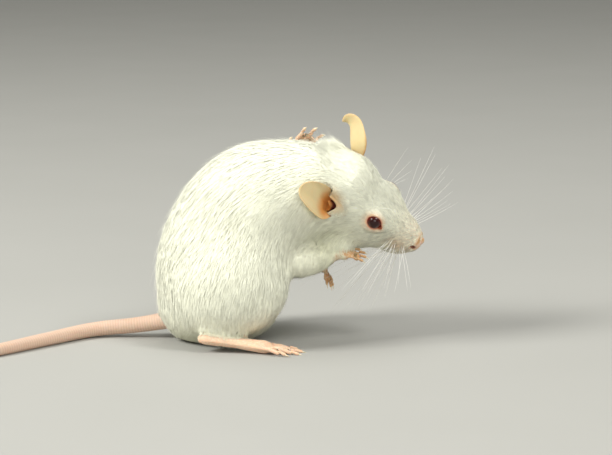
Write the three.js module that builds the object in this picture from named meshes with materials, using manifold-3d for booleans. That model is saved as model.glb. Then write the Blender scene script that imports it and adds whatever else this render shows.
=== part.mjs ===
// A white pet mouse, life size, sitting hunched on its seat and right hind foot and scratching
// behind its left ear with its left hind foot. Millimetres, +Z up, +X forward; the floor is z = 0
// and the origin lies under the seat. Trunk, neck and head are one smooth blend of simple masses,
// out to the tips of the coat. Two round shells are wrapped round the blend, and the solids are
// then parted into named pieces that stay a small gap away from each other.
import * as THREE from "three";
import { mergeVertices } from "three/addons/utils/BufferGeometryUtils.js";
import Module from "manifold-3d";

const wasm = await Module();
wasm.setup();

// ---------------------------------------------------------------- driving dimensions
const GAP = 0.3; // clearance between neighbouring pieces
const EAR_GAP = 2 * GAP; // the same round the ears, whose walls are coarser
const BLEND_REACH = 4; // distance over which two masses flow together
const NECK_OVERRUN = 4; // how far body and head shells run on past the plane they are cut at
const EYE = { radius: 1.45, sunk: 0.6 };
const EAR = { wall: 0.8, neck: 0.5 };
const NOSE = { at: [19.2, 0, -4.3], size: [1.3, 1.25, 1.15] };
const HIND = { toe: 0.56, claw: 0.32, clawLength: 1.25, sole: 0.72, shaft: [1.6, 1.4, 1.9] };
const FORE = { toe: 0.44, claw: 0.27, clawLength: 0.8, sole: 0.8, shaft: [1.15, 1.35] };

// The head's own frame: forward along the muzzle, to the animal's left, and up through the crown.
const HEAD = {
  origin: new THREE.Vector3(30.2, -0.95, 32.6), // midway between the ears
  forward: new THREE.Vector3(0.876, -0.062, -0.48),
  left: new THREE.Vector3(0.325, 0.805, 0.494),
  up: new THREE.Vector3(0.357, -0.589, 0.726),
};

// Joint centres of the legs. `dorsal` is the way that the back of the foot or paw faces, and
// `inner` is +1 where digit 1 lies to the left of a foot seen from above, -1 where to the right.
const LEGS = {
  right_hind: {
    heel: [3.5, -10.5, 2.6], ball: [16, -11.5, 1.1],
    dorsal: [0, 0, 1], inner: 1, curl: 0.15,
  },
  left_hind: {
    knee: [21, 14, 15], heel: [13.2, 15, 28.6], ball: [21.7, 9, 37.5],
    dorsal: [-0.25, 0.9, 0.3], inner: -1, curl: 0.5,
  },
  right_fore: {
    elbow: [21.8, -6, 17], wrist: [29.8, -4.4, 18.3], ball: [31.6, -4.1, 18.3],
    dorsal: [-0.1, -0.5, 0.85], inner: 1, curl: 0.4,
  },
  left_fore: {
    elbow: [21.5, 5.5, 16], wrist: [25.9, 1.5, 15.5], ball: [27, 1.2, 14],
    dorsal: [0.6, -0.2, 0.7], inner: -1, curl: 0.7,
  },
};

// The fleshy parts of the legs.
const RIGHT_HAUNCH = { centre: [9.4, -9.6, 11.3], radii: [12.2, 8.4, 10.9], lean: -9 };
const LEFT_THIGH = { hip: [8, 8, 13.5], middle: [14.5, 12.5, 12.8], radii: [8, 6.4, 3.9] };
const LEFT_SHANK = { bulge: 0.6, radii: [3.6, 2.9, 1.7] };
const FOREARM = { middle: 0.45, sag: 0.2, end: 0.88, radii: [3.3, 2.9, 1.5] };

// Digits 1 to 5 and 1 to 4: how far behind and beside the ball they start, length and spread.
const HIND_DIGITS = [
  { back: 2.6, out: 1.5, length: 3.0, fan: 22 },
  { back: 0.4, out: 1.0, length: 4.4, fan: 16 },
  { back: 0.0, out: 0.2, length: 5.0, fan: 6 },
  { back: 0.4, out: -0.7, length: 4.8, fan: -6 },
  { back: 2.0, out: -1.5, length: 4.2, fan: -18 },
];
const FORE_DIGITS = [
  { back: 0.2, out: 0.85, length: 1.7, fan: 18 },
  { back: 0.0, out: 0.3, length: 2.2, fan: 6 },
  { back: 0.0, out: -0.3, length: 2.2, fan: -6 },
  { back: 0.2, out: -0.85, length: 1.7, fan: -18 },
];

// The tail leaves the rump a little above the floor and is laid down on it: x, y, z and radius.
const TAIL = [
  [-3.5, 1.8, 3.9, 1.8], [-10.4, 3, 2.5, 1.6], [-19.6, 2.4, 1.6, 1.5],
  [-28, -5, 1.3, 1.4], [-38, -15, 1.1, 1.25], [-48, -22.5, 1, 1.1],
  [-58, -26, 0.8, 0.95], [-67, -25, 0.65, 0.8], [-74, -20, 0.45, 0.6],
];
const TAIL_CUTS = [0, 0.3, 0.55, 0.79, 1]; // where its four pieces part, as shares of its length

// Planes that part trunk, neck and head, each a point and a normal pointing forward.
const NECK_BACK = [[21.6, -0.5, 27], [0.995, -0.03, 0.06]];
const NECK_FRONT = [[26.4, -1, 29], [0.985, -0.06, -0.16]];

const FINISH = {
  coat: { color: "#f2efe4", roughness: 0.95 },
  skin: { color: "#e6b9a6", roughness: 0.7 },
  ear: { color: "#f0dcc0", roughness: 0.75 },
  eye: { color: "#5a0f12", roughness: 0.12 },
  claw: { color: "#efe3d2", roughness: 0.45 },
};

// ---------------------------------------------------------------- small helpers
const { clamp, degToRad, lerp, smoothstep } = THREE.MathUtils;
const TINY = 1e-9; // keeps a division away from zero
const vec = (p) => (Array.isArray(p) ? new THREE.Vector3(...p) : p.clone());

function inHead(forward, left, up) {
  return new THREE.Vector3().addScaledVector(HEAD.forward, forward)
    .addScaledVector(HEAD.left, left).addScaledVector(HEAD.up, up);
}

function headPoint(forward, left, up) {
  return inHead(forward, left, up).add(HEAD.origin);
}

function solid(geometry) {
  const bare = geometry.clone();
  for (const name of ["normal", "uv"]) bare.deleteAttribute(name);
  const joined = mergeVertices(bare, 1e-5);
  return new wasm.Manifold(new wasm.Mesh({
    numProp: 3,
    vertProperties: Float32Array.from(joined.getAttribute("position").array),
    triVerts: Uint32Array.from(joined.index.array),
  }));
}

function ball(centre, radii, sides = 12, rings = 8) {
  const sphere = new THREE.SphereGeometry(1, sides, rings).scale(...radii);
  return solid(sphere.translate(...vec(centre).toArray()));
}

// Everything beyond a plane, as a large block turned to the plane's normal.
const BLOCK = 160;
const TAIL_BLOCK = 60; // small enough to spare the tail's other bends
function beyond([point, normal], shift = 0, size = BLOCK) {
  const n = vec(normal).normalize();
  const turn = new THREE.Quaternion().setFromUnitVectors(new THREE.Vector3(0, 0, 1), n);
  const at = vec(point).addScaledVector(n, size / 2 + shift);
  return solid(new THREE.BoxGeometry(size, size, size).applyQuaternion(turn).translate(...at.toArray()));
}

const underground = beyond([[0, 0, 0], [0, 0, -1]], 0, 2.5 * BLOCK);

// ---------------------------------------------------------------- the blended masses
// Each mass is a function that gives a point's distance to it, below zero inside.
function ellipsoid(centre, radii, turn) {
  const inverse = turn.clone().invert();
  const p = new THREE.Vector3();
  const q = new THREE.Vector3();
  return (at) => {
    p.copy(at).sub(centre).applyQuaternion(inverse);
    const near = q.copy(p).divide(radii).length();
    const slope = Math.max(q.divide(radii).length(), TINY);
    return (near * (near - 1)) / slope;
  };
}

// An ellipsoid whose long axes lean forward by `tilt` degrees.
function lump(centre, radii, tilt = 0) {
  const turn = new THREE.Quaternion().setFromAxisAngle(new THREE.Vector3(0, 1, 0), degToRad(tilt));
  return ellipsoid(vec(centre), vec(radii), turn);
}

function headLump(centre, radii) {
  const frame = new THREE.Matrix4().makeBasis(HEAD.forward, HEAD.left, HEAD.up);
  return ellipsoid(headPoint(...centre), vec(radii), new THREE.Quaternion().setFromRotationMatrix(frame));
}

function taper(from, fromRadius, to, toRadius) {
  const a = vec(from);
  const along = vec(to).sub(a);
  const p = new THREE.Vector3();
  return (at) => {
    const t = clamp(p.copy(at).sub(a).dot(along) / along.lengthSq(), 0, 1);
    return p.copy(a).addScaledVector(along, t).distanceTo(at) - lerp(fromRadius, toRadius, t);
  };
}

function blend(masses) {
  return (at) => masses.reduce((sum, mass) => {
    const distance = mass(at);
    const near = Math.max(BLEND_REACH - Math.abs(sum - distance), 0) / BLEND_REACH;
    return Math.min(sum, distance) - (near * near * BLEND_REACH) / 4;
  }, Infinity);
}

const bothSides = (make) => [1, -1].map(make);

const headMasses = [
  headLump([1.5, 0, -1.5], [6.3, 8, 7.5]), // cranium
  ...bothSides((side) => headLump([5.6, side * 3.7, -6.4], [5.6, 3.4, 5])), // cheeks
  taper(headPoint(8, 0, -3), 3.8, headPoint(18.2, 0, -4.6), 1.8), // muzzle
  ...bothSides((side) => headLump([15.4, side * 1.8, -5.2], [2.7, 1.2, 2.5])), // whisker pads
  taper(headPoint(5.6, 0, -8), 3.3, headPoint(14.4, 0, -7.1), 1.4), // lower jaw
  ...bothSides((side) => headLump([9.5, side * 3.2, -1.2], [3, 1.5, 1.5])), // brows
];

const trunkMasses = [
  lump([4.3, 0.5, 13.2], [11, 10.2, 14.5], 4), // rump
  lump([6.4, 1.9, 5.8], [11.8, 9.8, 6.8], 0), // seat
  lump([9, -0.2, 22.2], [13, 9.7, 17.3], 24), // back and belly
  lump([15, -1, 27.3], [10.5, 10.6, 12.9], 6), // chest and shoulders
  taper([23.6, -1, 31.3], 9.4, headPoint(-2.8, 0, -3), 7.1), // nape
  taper([21, 0.5, 20], 5.4, headPoint(3.2, 0, -8), 4.2), // throat
  lump([9.3, -7.7, 12], [11, 6.3, 9.6], -9), // right haunch
  lump([8, 6.2, 14], [10, 6.6, 10.5], 0), // left haunch
];

const flesh = blend([...trunkMasses, ...headMasses]);

// A field that also ends a little past a plane, on the side that `way` gives.
function endedAt([point, normal], way, field) {
  const n = vec(normal).normalize().multiplyScalar(way);
  const limit = n.dot(vec(point)) + NECK_OVERRUN;
  return (at) => Math.max(field(at), n.dot(at) - limit);
}

// The first point on a field's face, going outwards from a point inside it.
function faceAlong(field, start, out, grow = 0) {
  const at = new THREE.Vector3();
  const inside = (far) => field(at.copy(start).addScaledVector(out, far)) < grow;
  const stride = 0.5;
  const halvings = 14;
  let far = stride;
  while (inside(far)) far += stride;
  let near = far - stride;
  for (let step = 0; step < halvings; step++) {
    const middle = (near + far) / 2;
    if (inside(middle)) near = middle;
    else far = middle;
  }
  return at.copy(start).addScaledVector(out, near);
}

// A sphere whose vertices are moved out from a line inside the body to the face of a field.
function wrap(field, from, to, sides, rings, grow) {
  const axis = vec(to).sub(vec(from)).normalize();
  const turn = new THREE.Quaternion().setFromUnitVectors(new THREE.Vector3(0, 1, 0), axis);
  const geometry = new THREE.SphereGeometry(1, sides, rings);
  const position = geometry.getAttribute("position");
  const out = new THREE.Vector3();
  for (let i = 0; i < position.count; i++) {
    out.fromBufferAttribute(position, i);
    const start = vec(from).lerp(vec(to), (1 + out.y) / 2);
    const at = faceAlong(field, start, out.applyQuaternion(turn), grow);
    position.setXYZ(i, at.x, at.y, at.z);
  }
  return solid(geometry);
}

function bodyWrap(grow = 0) {
  return wrap(endedAt(NECK_FRONT, 1, flesh), [6, 0, 13], [19, -0.5, 27], 32, 23, grow);
}

function headWrap(grow = 0) {
  const field = endedAt(NECK_FRONT, -1, flesh);
  return wrap(field, headPoint(0.5, 0, -5), headPoint(14, 0, -4.2), 26, 24, grow);
}

// ---------------------------------------------------------------- limbs
// A round-ended limb along a smooth curve, `flat` times as thick in the direction `up` as across.
function limb(points, radii, { sides = 10, rings = 5, caps = 3, grow = 0, flat = 1, up = [0, 0, 1] } = {}) {
  const curve = new THREE.CatmullRomCurve3(points.map(vec), false, "centripetal");
  const geometry = new THREE.CapsuleGeometry(1, 1, caps, sides, rings);
  const position = geometry.getAttribute("position");
  const p = new THREE.Vector3();
  for (let i = 0; i < position.count; i++) {
    p.fromBufferAttribute(position, i);
    const t = clamp(p.y + 0.5, 0, 1);
    const last = Math.min(Math.floor(t * (radii.length - 1)), radii.length - 2);
    const radius = lerp(radii[last], radii[last + 1], t * (radii.length - 1) - last);
    const tangent = curve.getTangent(t);
    const side = new THREE.Vector3().crossVectors(tangent, vec(up)).normalize();
    const rise = new THREE.Vector3().crossVectors(side, tangent);
    const past = p.y - clamp(p.y, -0.5, 0.5);
    const at = curve.getPoint(t).addScaledVector(tangent, past * (radius + grow))
      .addScaledVector(side, p.x * (radius + grow)).addScaledVector(rise, p.z * (radius * flat + grow));
    position.setXYZ(i, at.x, at.y, at.z);
  }
  return solid(geometry);
}

function rightHaunch(grow) {
  const radii = RIGHT_HAUNCH.radii.map((radius) => radius + grow);
  const shape = new THREE.SphereGeometry(1, 18, 12).scale(...radii);
  return solid(shape.rotateY(degToRad(RIGHT_HAUNCH.lean)).translate(...RIGHT_HAUNCH.centre));
}

function leftThigh(grow) {
  const { hip, middle, radii } = LEFT_THIGH;
  return limb([hip, middle, LEGS.left_hind.knee], radii, { sides: 12, rings: 5, grow });
}

function leftShank(grow) {
  const { knee, heel } = LEGS.left_hind;
  const middle = vec(knee).lerp(vec(heel), 0.5).add(new THREE.Vector3(0, LEFT_SHANK.bulge, 0));
  return limb([knee, middle, heel], LEFT_SHANK.radii, { sides: 10, rings: 4, grow });
}

// The furred forearm sags slightly and ends a little short of the wrist.
function forearm(leg) {
  const along = (share) => vec(leg.elbow).lerp(vec(leg.wrist), share);
  const middle = along(FOREARM.middle).add(new THREE.Vector3(0, 0, -FOREARM.sag));
  return limb([leg.elbow, middle, along(FOREARM.end)], FOREARM.radii, { sides: 10, rings: 3 });
}

// ---------------------------------------------------------------- feet and paws
// A foot's own frame stands at its ball: forward to the toes, up through its back, and left.
function footPoint(leg, forward, left, up) {
  const back = vec(leg.heel ?? leg.wrist);
  const ahead = vec(leg.ball).sub(back).normalize();
  const aside = new THREE.Vector3().crossVectors(vec(leg.dorsal), ahead).normalize();
  const rise = new THREE.Vector3().crossVectors(ahead, aside);
  return vec(leg.ball).addScaledVector(ahead, forward)
    .addScaledVector(aside, left).addScaledVector(rise, up);
}

// A point at a distance along a digit, raised or curled down.
function onDigit(leg, digit, distance, rise) {
  const turn = degToRad(digit.fan);
  const forward = Math.cos(turn) * distance - digit.back;
  return footPoint(leg, forward, leg.inner * (digit.out + Math.sin(turn) * distance), rise);
}

function footShaft(leg, size, grow = 0) {
  const back = vec(leg.heel ?? leg.wrist);
  const front = footPoint(leg, -0.8, 0, 0);
  const middle = back.clone().lerp(front, 0.5);
  const up = footPoint(leg, 0, 0, 1).sub(vec(leg.ball)).toArray();
  const options = { sides: 8, rings: 4, caps: 2, grow, flat: size.sole, up };
  return limb([back, middle, front], size.shaft, options);
}

// The shaft with its digits, each thick at the root and again at its pad, arched, then curled.
function foot(leg, digits, size) {
  return digits.reduce((shape, digit) => {
    const joints = [[-0.6, 0], [0.35, 0.3], [0.72, 0.1 - leg.curl * 0.3], [1, -leg.curl]];
    const bones = joints.map(([part, rise]) => onDigit(leg, digit, part * digit.length, rise));
    const radii = [1.15, 0.9, 1.05, 0.85].map((share) => share * size.toe);
    return shape.add(limb(bones, radii, { sides: 6, rings: 2, caps: 2 }));
  }, footShaft(leg, size));
}

// A claw starts a gap beyond its digit's round tip and hooks down a little.
function claw(leg, digit, size) {
  const start = digit.length + 1.2 * size.toe + GAP;
  const root = 0.12 - 1.1 * leg.curl;
  const hook = 0.3;
  const line = [0, 0.5, 1].map((part) => (
    onDigit(leg, digit, start + part * size.clawLength, root - hook * part * part)
  ));
  const radii = [1, 0.85, 0.75].map((share) => share * size.claw);
  return limb(line, radii, { sides: 6, rings: 2, caps: 1 });
}

// ---------------------------------------------------------------- ears, eyes and tail
// A cupped leaf: a flattened sphere, hollowed about its long axis and bent back towards the tip.
// `cup` is the depth of the hollow, of which a share `tipCup` is left at the tip.
const EARS = {
  right: {
    base: headPoint(1.1, -6.4, -2.4), along: [-0.46, -0.8, 0.4], opening: [0.85, -0.5, -0.1],
    length: 11.4, width: 6.3, cup: 2.2, tipCup: 0.15, bend: 30, bendFrom: 0.35,
  },
  left: {
    base: headPoint(0.5, 5, 0.5), along: [-0.03, 0.2, 0.97], opening: [0.94, -0.06, -0.3],
    length: 9.7, width: 10, cup: 3.1, tipCup: 0.75, bend: 88, bendFrom: 0.68,
  },
};

function ear({ base, along, opening, length, width, cup, tipCup, bend, bendFrom }, grow = 0) {
  const axis = vec(along).normalize();
  const open = vec(opening).addScaledVector(axis, -vec(opening).dot(axis)).normalize();
  const across = new THREE.Vector3().crossVectors(open, axis);
  const spine = [new THREE.Vector2(0, 0)];
  const steps = 40;
  const angleAt = (height) => degToRad(bend) * smoothstep(height, bendFrom, 1);
  for (let k = 0; k < steps; k++) {
    const angle = angleAt((k + 0.5) / steps);
    const ahead = new THREE.Vector2(Math.cos(angle), -Math.sin(angle)).multiplyScalar(length / steps);
    spine.push(spine[k].clone().add(ahead));
  }
  const geometry = new THREE.SphereGeometry(1, 14, 10);
  const position = geometry.getAttribute("position");
  const p = new THREE.Vector3();
  for (let i = 0; i < position.count; i++) {
    p.fromBufferAttribute(position, i);
    const height = (1 + p.z) / 2;
    const angle = angleAt(height);
    const stem = spine[Math.round(height * steps)];
    const out = p.x / Math.max(Math.hypot(p.x, p.y), TINY);
    const side = (p.x * lerp(EAR.neck, 1, smoothstep(height, 0, 0.5)) * width) / 2 + out * grow;
    const wall = Math.sign(p.y) * Math.pow(Math.abs(p.y), 0.45) * (EAR.wall / 2 + grow);
    const hollow = wall + (cup * lerp(1, tipCup, height) * p.x + grow * out) * out;
    const at = vec(base).addScaledVector(across, side)
      .addScaledVector(axis, stem.x + Math.sin(angle) * hollow + p.z * grow)
      .addScaledVector(open, stem.y + Math.cos(angle) * hollow);
    position.setXYZ(i, at.x, at.y, at.z);
  }
  return solid(geometry);
}

function eyeCentre(side) {
  const out = inHead(0.1, side, 0.02).normalize();
  return faceAlong(flesh, headPoint(9.1, side * 1.5, -0.8), out).addScaledVector(out, -EYE.sunk);
}

// The tail over some of the rows of its table.
function tailLimb(rows, options) {
  return limb(rows.map((row) => row.slice(0, 3)), rows.map((row) => row[3]), options);
}

function tailPiece(index) {
  const line = TAIL.map((row) => vec(row.slice(0, 3)));
  const curve = new THREE.CatmullRomCurve3(line, false, "centripetal");
  const cut = (share) => [curve.getPoint(share).toArray(), curve.getTangent(share).toArray()];
  let shape = tailLimb(TAIL, { sides: 8, rings: 25, caps: 2 });
  if (index > 0) {
    shape = shape.intersect(beyond(cut(TAIL_CUTS[index]), GAP / 2, TAIL_BLOCK));
  }
  if (index < TAIL_CUTS.length - 2) {
    shape = shape.subtract(beyond(cut(TAIL_CUTS[index + 1]), -GAP / 2, TAIL_BLOCK));
  }
  return shape.subtract(underground);
}

// ---------------------------------------------------------------- the group
function toGeometry(shape) {
  const mesh = shape.getMesh();
  const geometry = new THREE.BufferGeometry();
  geometry.setAttribute("position", new THREE.BufferAttribute(mesh.vertProperties, 3));
  geometry.setIndex(new THREE.BufferAttribute(mesh.triVerts, 1));
  return geometry;
}

const mouse = new THREE.Group();
mouse.name = "mouse";

function keep(name, finish, shape) {
  const material = new THREE.MeshStandardMaterial({ ...FINISH[finish], metalness: 0 });
  const piece = new THREE.Mesh(toGeometry(shape), material);
  piece.name = name;
  mouse.add(piece);
}

// Trunk, neck and right haunch, cleared for the right hind foot and the root of the tail.
const tailRoot = tailLimb(TAIL.slice(0, 2), { grow: GAP });
const body = bodyWrap();
const trunk = body.subtract(underground).subtract(beyond(NECK_BACK))
  .subtract(footShaft(LEGS.right_hind, HIND, GAP)).subtract(tailRoot);
const neck = body.intersect(beyond(NECK_BACK, GAP)).subtract(beyond(NECK_FRONT, -GAP));
keep("trunk", "coat", trunk.subtract(rightHaunch(GAP)));
keep("right_thigh", "coat", trunk.intersect(rightHaunch(0)));
keep("neck", "coat", neck.subtract(ear(EARS.right, EAR_GAP)));

// Head, with sockets for its eyes, ears and nose.
const nose = headPoint(...NOSE.at);
const noseSocket = ball(nose, NOSE.size.map((radius) => radius + GAP));
let head = headWrap().intersect(beyond(NECK_FRONT)).subtract(noseSocket);
for (const [name, side] of [["right", -1], ["left", 1]]) {
  const centre = eyeCentre(side);
  const socket = ball(centre, Array(3).fill(EYE.radius + GAP));
  head = head.subtract(socket).subtract(ear(EARS[name], EAR_GAP));
  keep(`${name}_eye`, "eye", ball(centre, Array(3).fill(EYE.radius)));
  keep(`${name}_ear`, "ear", ear(EARS[name]));
}
keep("head", "coat", head);
keep("nose", "skin", ball(nose, NOSE.size));

// Legs, which stop short of the body that they come out of.
const clearance = bodyWrap(GAP).add(headWrap(GAP));
keep("left_thigh", "coat", leftThigh(0).subtract(clearance));
keep("left_shank", "coat", leftShank(0).subtract(clearance).subtract(leftThigh(GAP)));
for (const side of ["right", "left"]) {
  const hind = LEGS[`${side}_hind`];
  const fore = LEGS[`${side}_fore`];
  const hindFoot = foot(hind, HIND_DIGITS, HIND).subtract(underground).subtract(leftShank(GAP));
  keep(`${side}_hind_foot`, "skin", hindFoot);
  keep(`${side}_forearm`, "coat", forearm(fore).subtract(clearance).subtract(footShaft(fore, FORE, GAP)));
  keep(`${side}_forepaw`, "skin", foot(fore, FORE_DIGITS, FORE).subtract(clearance));
  HIND_DIGITS.forEach((digit, k) => {
    keep(`${side}_hind_claw_${k + 1}`, "claw", claw(hind, digit, HIND).subtract(underground));
  });
  FORE_DIGITS.forEach((digit, k) => {
    keep(`${side}_fore_claw_${k + 1}`, "claw", claw(fore, digit, FORE));
  });
}
for (let index = 0; index < TAIL_CUTS.length - 1; index++) {
  keep(`tail_${index + 1}`, "skin", tailPiece(index));
}

export default mouse;
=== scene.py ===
"""A life-size white pet mouse, sitting hunched and scratching behind its left ear.

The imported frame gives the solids. One skin is made from copies of the flesh nodes: it lies
under them by the depth of the coat and carries lids, nostrils, ears, toes and tail. The coat
is laid over it in thin mesh tufts that follow the lie of the hair. Shapes are worked out in
millimetres and written to the meshes in metres.
"""

import logging
import math
from dataclasses import dataclass
from enum import Enum
from typing import Callable

import bmesh
import bpy
import numpy as np
from mathutils import Matrix, Vector
from mathutils.bvhtree import BVHTree
from mathutils.kdtree import KDTree


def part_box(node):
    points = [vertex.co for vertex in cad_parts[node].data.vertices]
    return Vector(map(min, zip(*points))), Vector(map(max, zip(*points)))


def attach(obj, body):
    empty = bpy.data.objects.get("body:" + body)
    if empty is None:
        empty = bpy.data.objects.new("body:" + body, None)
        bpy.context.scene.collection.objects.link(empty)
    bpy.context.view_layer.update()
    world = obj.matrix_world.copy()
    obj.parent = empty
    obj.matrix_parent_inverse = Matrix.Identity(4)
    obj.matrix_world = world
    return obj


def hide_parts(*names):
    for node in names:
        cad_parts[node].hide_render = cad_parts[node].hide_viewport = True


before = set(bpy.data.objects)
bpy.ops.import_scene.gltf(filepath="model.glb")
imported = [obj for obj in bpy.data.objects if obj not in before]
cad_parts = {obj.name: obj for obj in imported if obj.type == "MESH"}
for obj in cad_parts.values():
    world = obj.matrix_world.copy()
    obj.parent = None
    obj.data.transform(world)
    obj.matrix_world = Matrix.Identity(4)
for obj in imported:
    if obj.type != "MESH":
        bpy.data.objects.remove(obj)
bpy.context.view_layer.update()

MM = 0.001  # metres in a millimetre
FLOOR_GAP = 0.02  # how far the lowest points stay above the floor, in millimetres
SEED = 28
MAP = "OFBake"  # the unwrap that skin and coat share
TINT = "tint"  # the colour attribute of skin and coat
LAID = "laid"  # how far along its tuft a point of the coat lies, from 0 to 1
SHARE = "share"  # where a corner lies in the grid that it was shaped from

log = logging.getLogger("mouse")
Array = np.ndarray


# ------------------------------------------------------------------ small sums
def unit(rows: Array) -> Array:
    """Rows scaled to length 1."""
    return rows / np.maximum(np.linalg.norm(rows, axis=-1, keepdims=True), 1e-9)


def ramp(value: Array, low: float, high: float) -> Array:
    """A smooth rise from 0 at low to 1 at high."""
    t = np.clip((value - low) / (high - low), 0.0, 1.0)
    return t * t * (3.0 - 2.0 * t)


def hill(value: Array, middle: float, width: float) -> Array:
    """A smooth hump of height 1 about a middle value."""
    return np.exp(-(((value - middle) / width) ** 2))


def paint(code: str) -> Array:
    """A colour as light, from its code of six hex digits."""
    value = np.array([int(code[i : i + 2], 16) / 255.0 for i in (1, 3, 5)])
    return np.where(value > 0.04045, ((value + 0.055) / 1.055) ** 2.4, value / 12.92)


def blended(under: Array, over: Array, share: Array) -> Array:
    """Rows of colour, with another colour laid over them by a share."""
    return under + (over - under) * share[:, None]


# ------------------------------------------------------------------ the head's own frame
@dataclass(frozen=True)
class HeadFrame:
    """Axes of the head: forward along the muzzle, to the animal's left, up through the crown."""

    origin: tuple = (30.2, -0.95, 32.6)
    forward: tuple = (0.876, -0.062, -0.48)
    left: tuple = (0.325, 0.805, 0.494)
    up: tuple = (0.357, -0.589, 0.726)

    def axes(self) -> Array:
        """The three axes as rows."""
        return np.array([self.forward, self.left, self.up])

    def place(self, local: tuple) -> Array:
        """Where a point of the head lies in the model."""
        return np.array(self.origin) + np.array(local) @ self.axes()

    def turned(self, local: tuple) -> Array:
        """A direction of the head in the model."""
        return np.array(local) @ self.axes()

    def local(self, points: Array) -> Array:
        """The points in the head's own frame."""
        return (points - np.array(self.origin)) @ np.linalg.inv(self.axes())


HEAD = HeadFrame()


# ------------------------------------------------------------------ shader sums
class Value:
    """One socket of a material, which can be used in sums."""

    def __init__(self, shader: "Shader", socket: bpy.types.NodeSocket) -> None:
        """Keeps the socket and the shader it belongs to."""
        self.shader = shader
        self.socket = socket

    def _sum(self, operation: str, first: object, second: object) -> "Value":
        """Adds a Math node."""
        return self.shader.node(
            "ShaderNodeMath", {"operation": operation}, {0: first, 1: second}
        )

    def __add__(self, other: object) -> "Value":
        """This plus other."""
        return self._sum("ADD", self, other)

    __radd__ = __add__

    def __sub__(self, other: object) -> "Value":
        """This less other."""
        return self._sum("SUBTRACT", self, other)

    def __rsub__(self, other: object) -> "Value":
        """Other less this."""
        return self._sum("SUBTRACT", other, self)

    def __mul__(self, other: object) -> "Value":
        """This times other."""
        return self._sum("MULTIPLY", self, other)

    __rmul__ = __mul__

    def __pow__(self, power: float) -> "Value":
        """This to a power."""
        return self._sum("POWER", self, power)


class Shader:
    """Builds the nodes of one material."""

    def __init__(self, name: str) -> None:
        """Starts a material with a bare Principled surface."""
        self.material = bpy.data.materials.new(name)
        self.material.use_nodes = True
        self.tree = self.material.node_tree
        self.surface = self.tree.nodes["Principled BSDF"]

    def node(self, kind: str, settings: dict, inputs: dict, output: object = 0) -> Value:
        """Adds a node.

        Args:
            kind: the node's type.
            settings: its properties, which are set first.
            inputs: numbers, colours or Values for its sockets, by name or number.
            output: the socket to return, by name or number.

        Returns:
            The output socket.
        """
        made = self.tree.nodes.new(kind)
        for name, value in settings.items():
            setattr(made, name, value)
        for name, value in inputs.items():
            if isinstance(value, Value):
                self.tree.links.new(value.socket, made.inputs[name])
            else:
                made.inputs[name].default_value = value
        return Value(self, made.outputs[output])

    def attribute(self, name: str, output: str) -> Value:
        """An attribute of the mesh."""
        return self.node("ShaderNodeAttribute", {"attribute_name": name}, {}, output)

    def place(self, scale: tuple = (1.0, 1.0, 1.0)) -> Value:
        """Object coordinates, stretched by a scale."""
        at = self.node("ShaderNodeTexCoord", {}, {}, "Object")
        return self.node("ShaderNodeMapping", {}, {"Vector": at, "Scale": scale})

    def noise(self, at: Value, size_mm: float, detail: float = 2.0) -> Value:
        """Soft noise with spots of a size."""
        inputs = {"Vector": at, "Scale": 1.0 / (size_mm * MM), "Detail": detail}
        return self.node("ShaderNodeTexNoise", {}, inputs, "Fac")

    def mix(self, first: object, second: object, share: object, how: str = "MIX") -> Value:
        """Two colours mixed by a share."""
        settings = {"data_type": "RGBA", "blend_type": how}
        return self.node("ShaderNodeMix", settings, {0: share, 6: first, 7: second}, 2)

    def bump(self, height: Value, depth_mm: float, strength: float = 1.0) -> Value:
        """A bumped normal from a height between 0 and 1."""
        inputs = {"Height": height, "Distance": depth_mm * MM, "Strength": strength}
        return self.node("ShaderNodeBump", {}, inputs, "Normal")

    def set(self, **sockets: object) -> None:
        """Sets or links sockets of the surface; a name's _ stands for a space."""
        for name, value in sockets.items():
            socket = self.surface.inputs[name.replace("_", " ")]
            if isinstance(value, Value):
                self.tree.links.new(value.socket, socket)
            else:
                socket.default_value = value


# ------------------------------------------------------------------ finishes
@dataclass(frozen=True)
class CoatFinish:
    """White hair: matt, with painted shade that darkens it towards the root, and a faint sheen."""

    roughness: float = 0.75
    root_shade: tuple = (0.93, 0.925, 0.82, 1.0)
    sheen: float = 0.15

    def make(self) -> bpy.types.Material:
        """Makes the material."""
        shader = Shader("white_coat")
        tint = shader.attribute(TINT, "Color")
        laid = shader.attribute(LAID, "Fac")
        # painted shade towards the roots, where the coat shades itself
        shade = shader.mix(tint, self.root_shade, 1.0, "MULTIPLY")
        streak = shader.noise(shader.place(), 0.5)
        colour = shader.mix(shade, tint, laid ** 0.6)
        shader.set(
            Base_Color=colour,
            Roughness=self.roughness + 0.12 * streak,
            Sheen_Weight=self.sheen,
            Sheen_Roughness=0.5,
            Specular_IOR_Level=0.35,
        )
        return shader.material


@dataclass(frozen=True)
class SkinFinish:
    """Soft skin, with fine pores and light that goes a little way in."""

    name: str = "skin"
    roughness: float = 0.55
    depth: float = 0.35
    reach_mm: float = 0.5
    pore_mm: float = 0.28
    relief_mm: float = 0.04

    def make(self) -> bpy.types.Material:
        """Makes the material."""
        shader = Shader(self.name)
        place = shader.place()
        pores = shader.noise(place, self.pore_mm, 3.0)
        blotch = shader.noise(place, 2.2, 2.0)
        tint = shader.attribute(TINT, "Color")
        warm = shader.mix(tint, (0.93, 0.80, 0.74, 1.0), 1.0, "MULTIPLY")
        shader.set(
            Base_Color=shader.mix(tint, warm, blotch * 0.6),
            Roughness=self.roughness + 0.15 * pores,
            Normal=shader.bump(pores, self.relief_mm),
            Subsurface_Weight=self.depth,
            Subsurface_Radius=(1.0, 0.42, 0.25),
            Subsurface_Scale=self.reach_mm * MM,
            Specular_IOR_Level=0.4,
        )
        return shader.material


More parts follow.
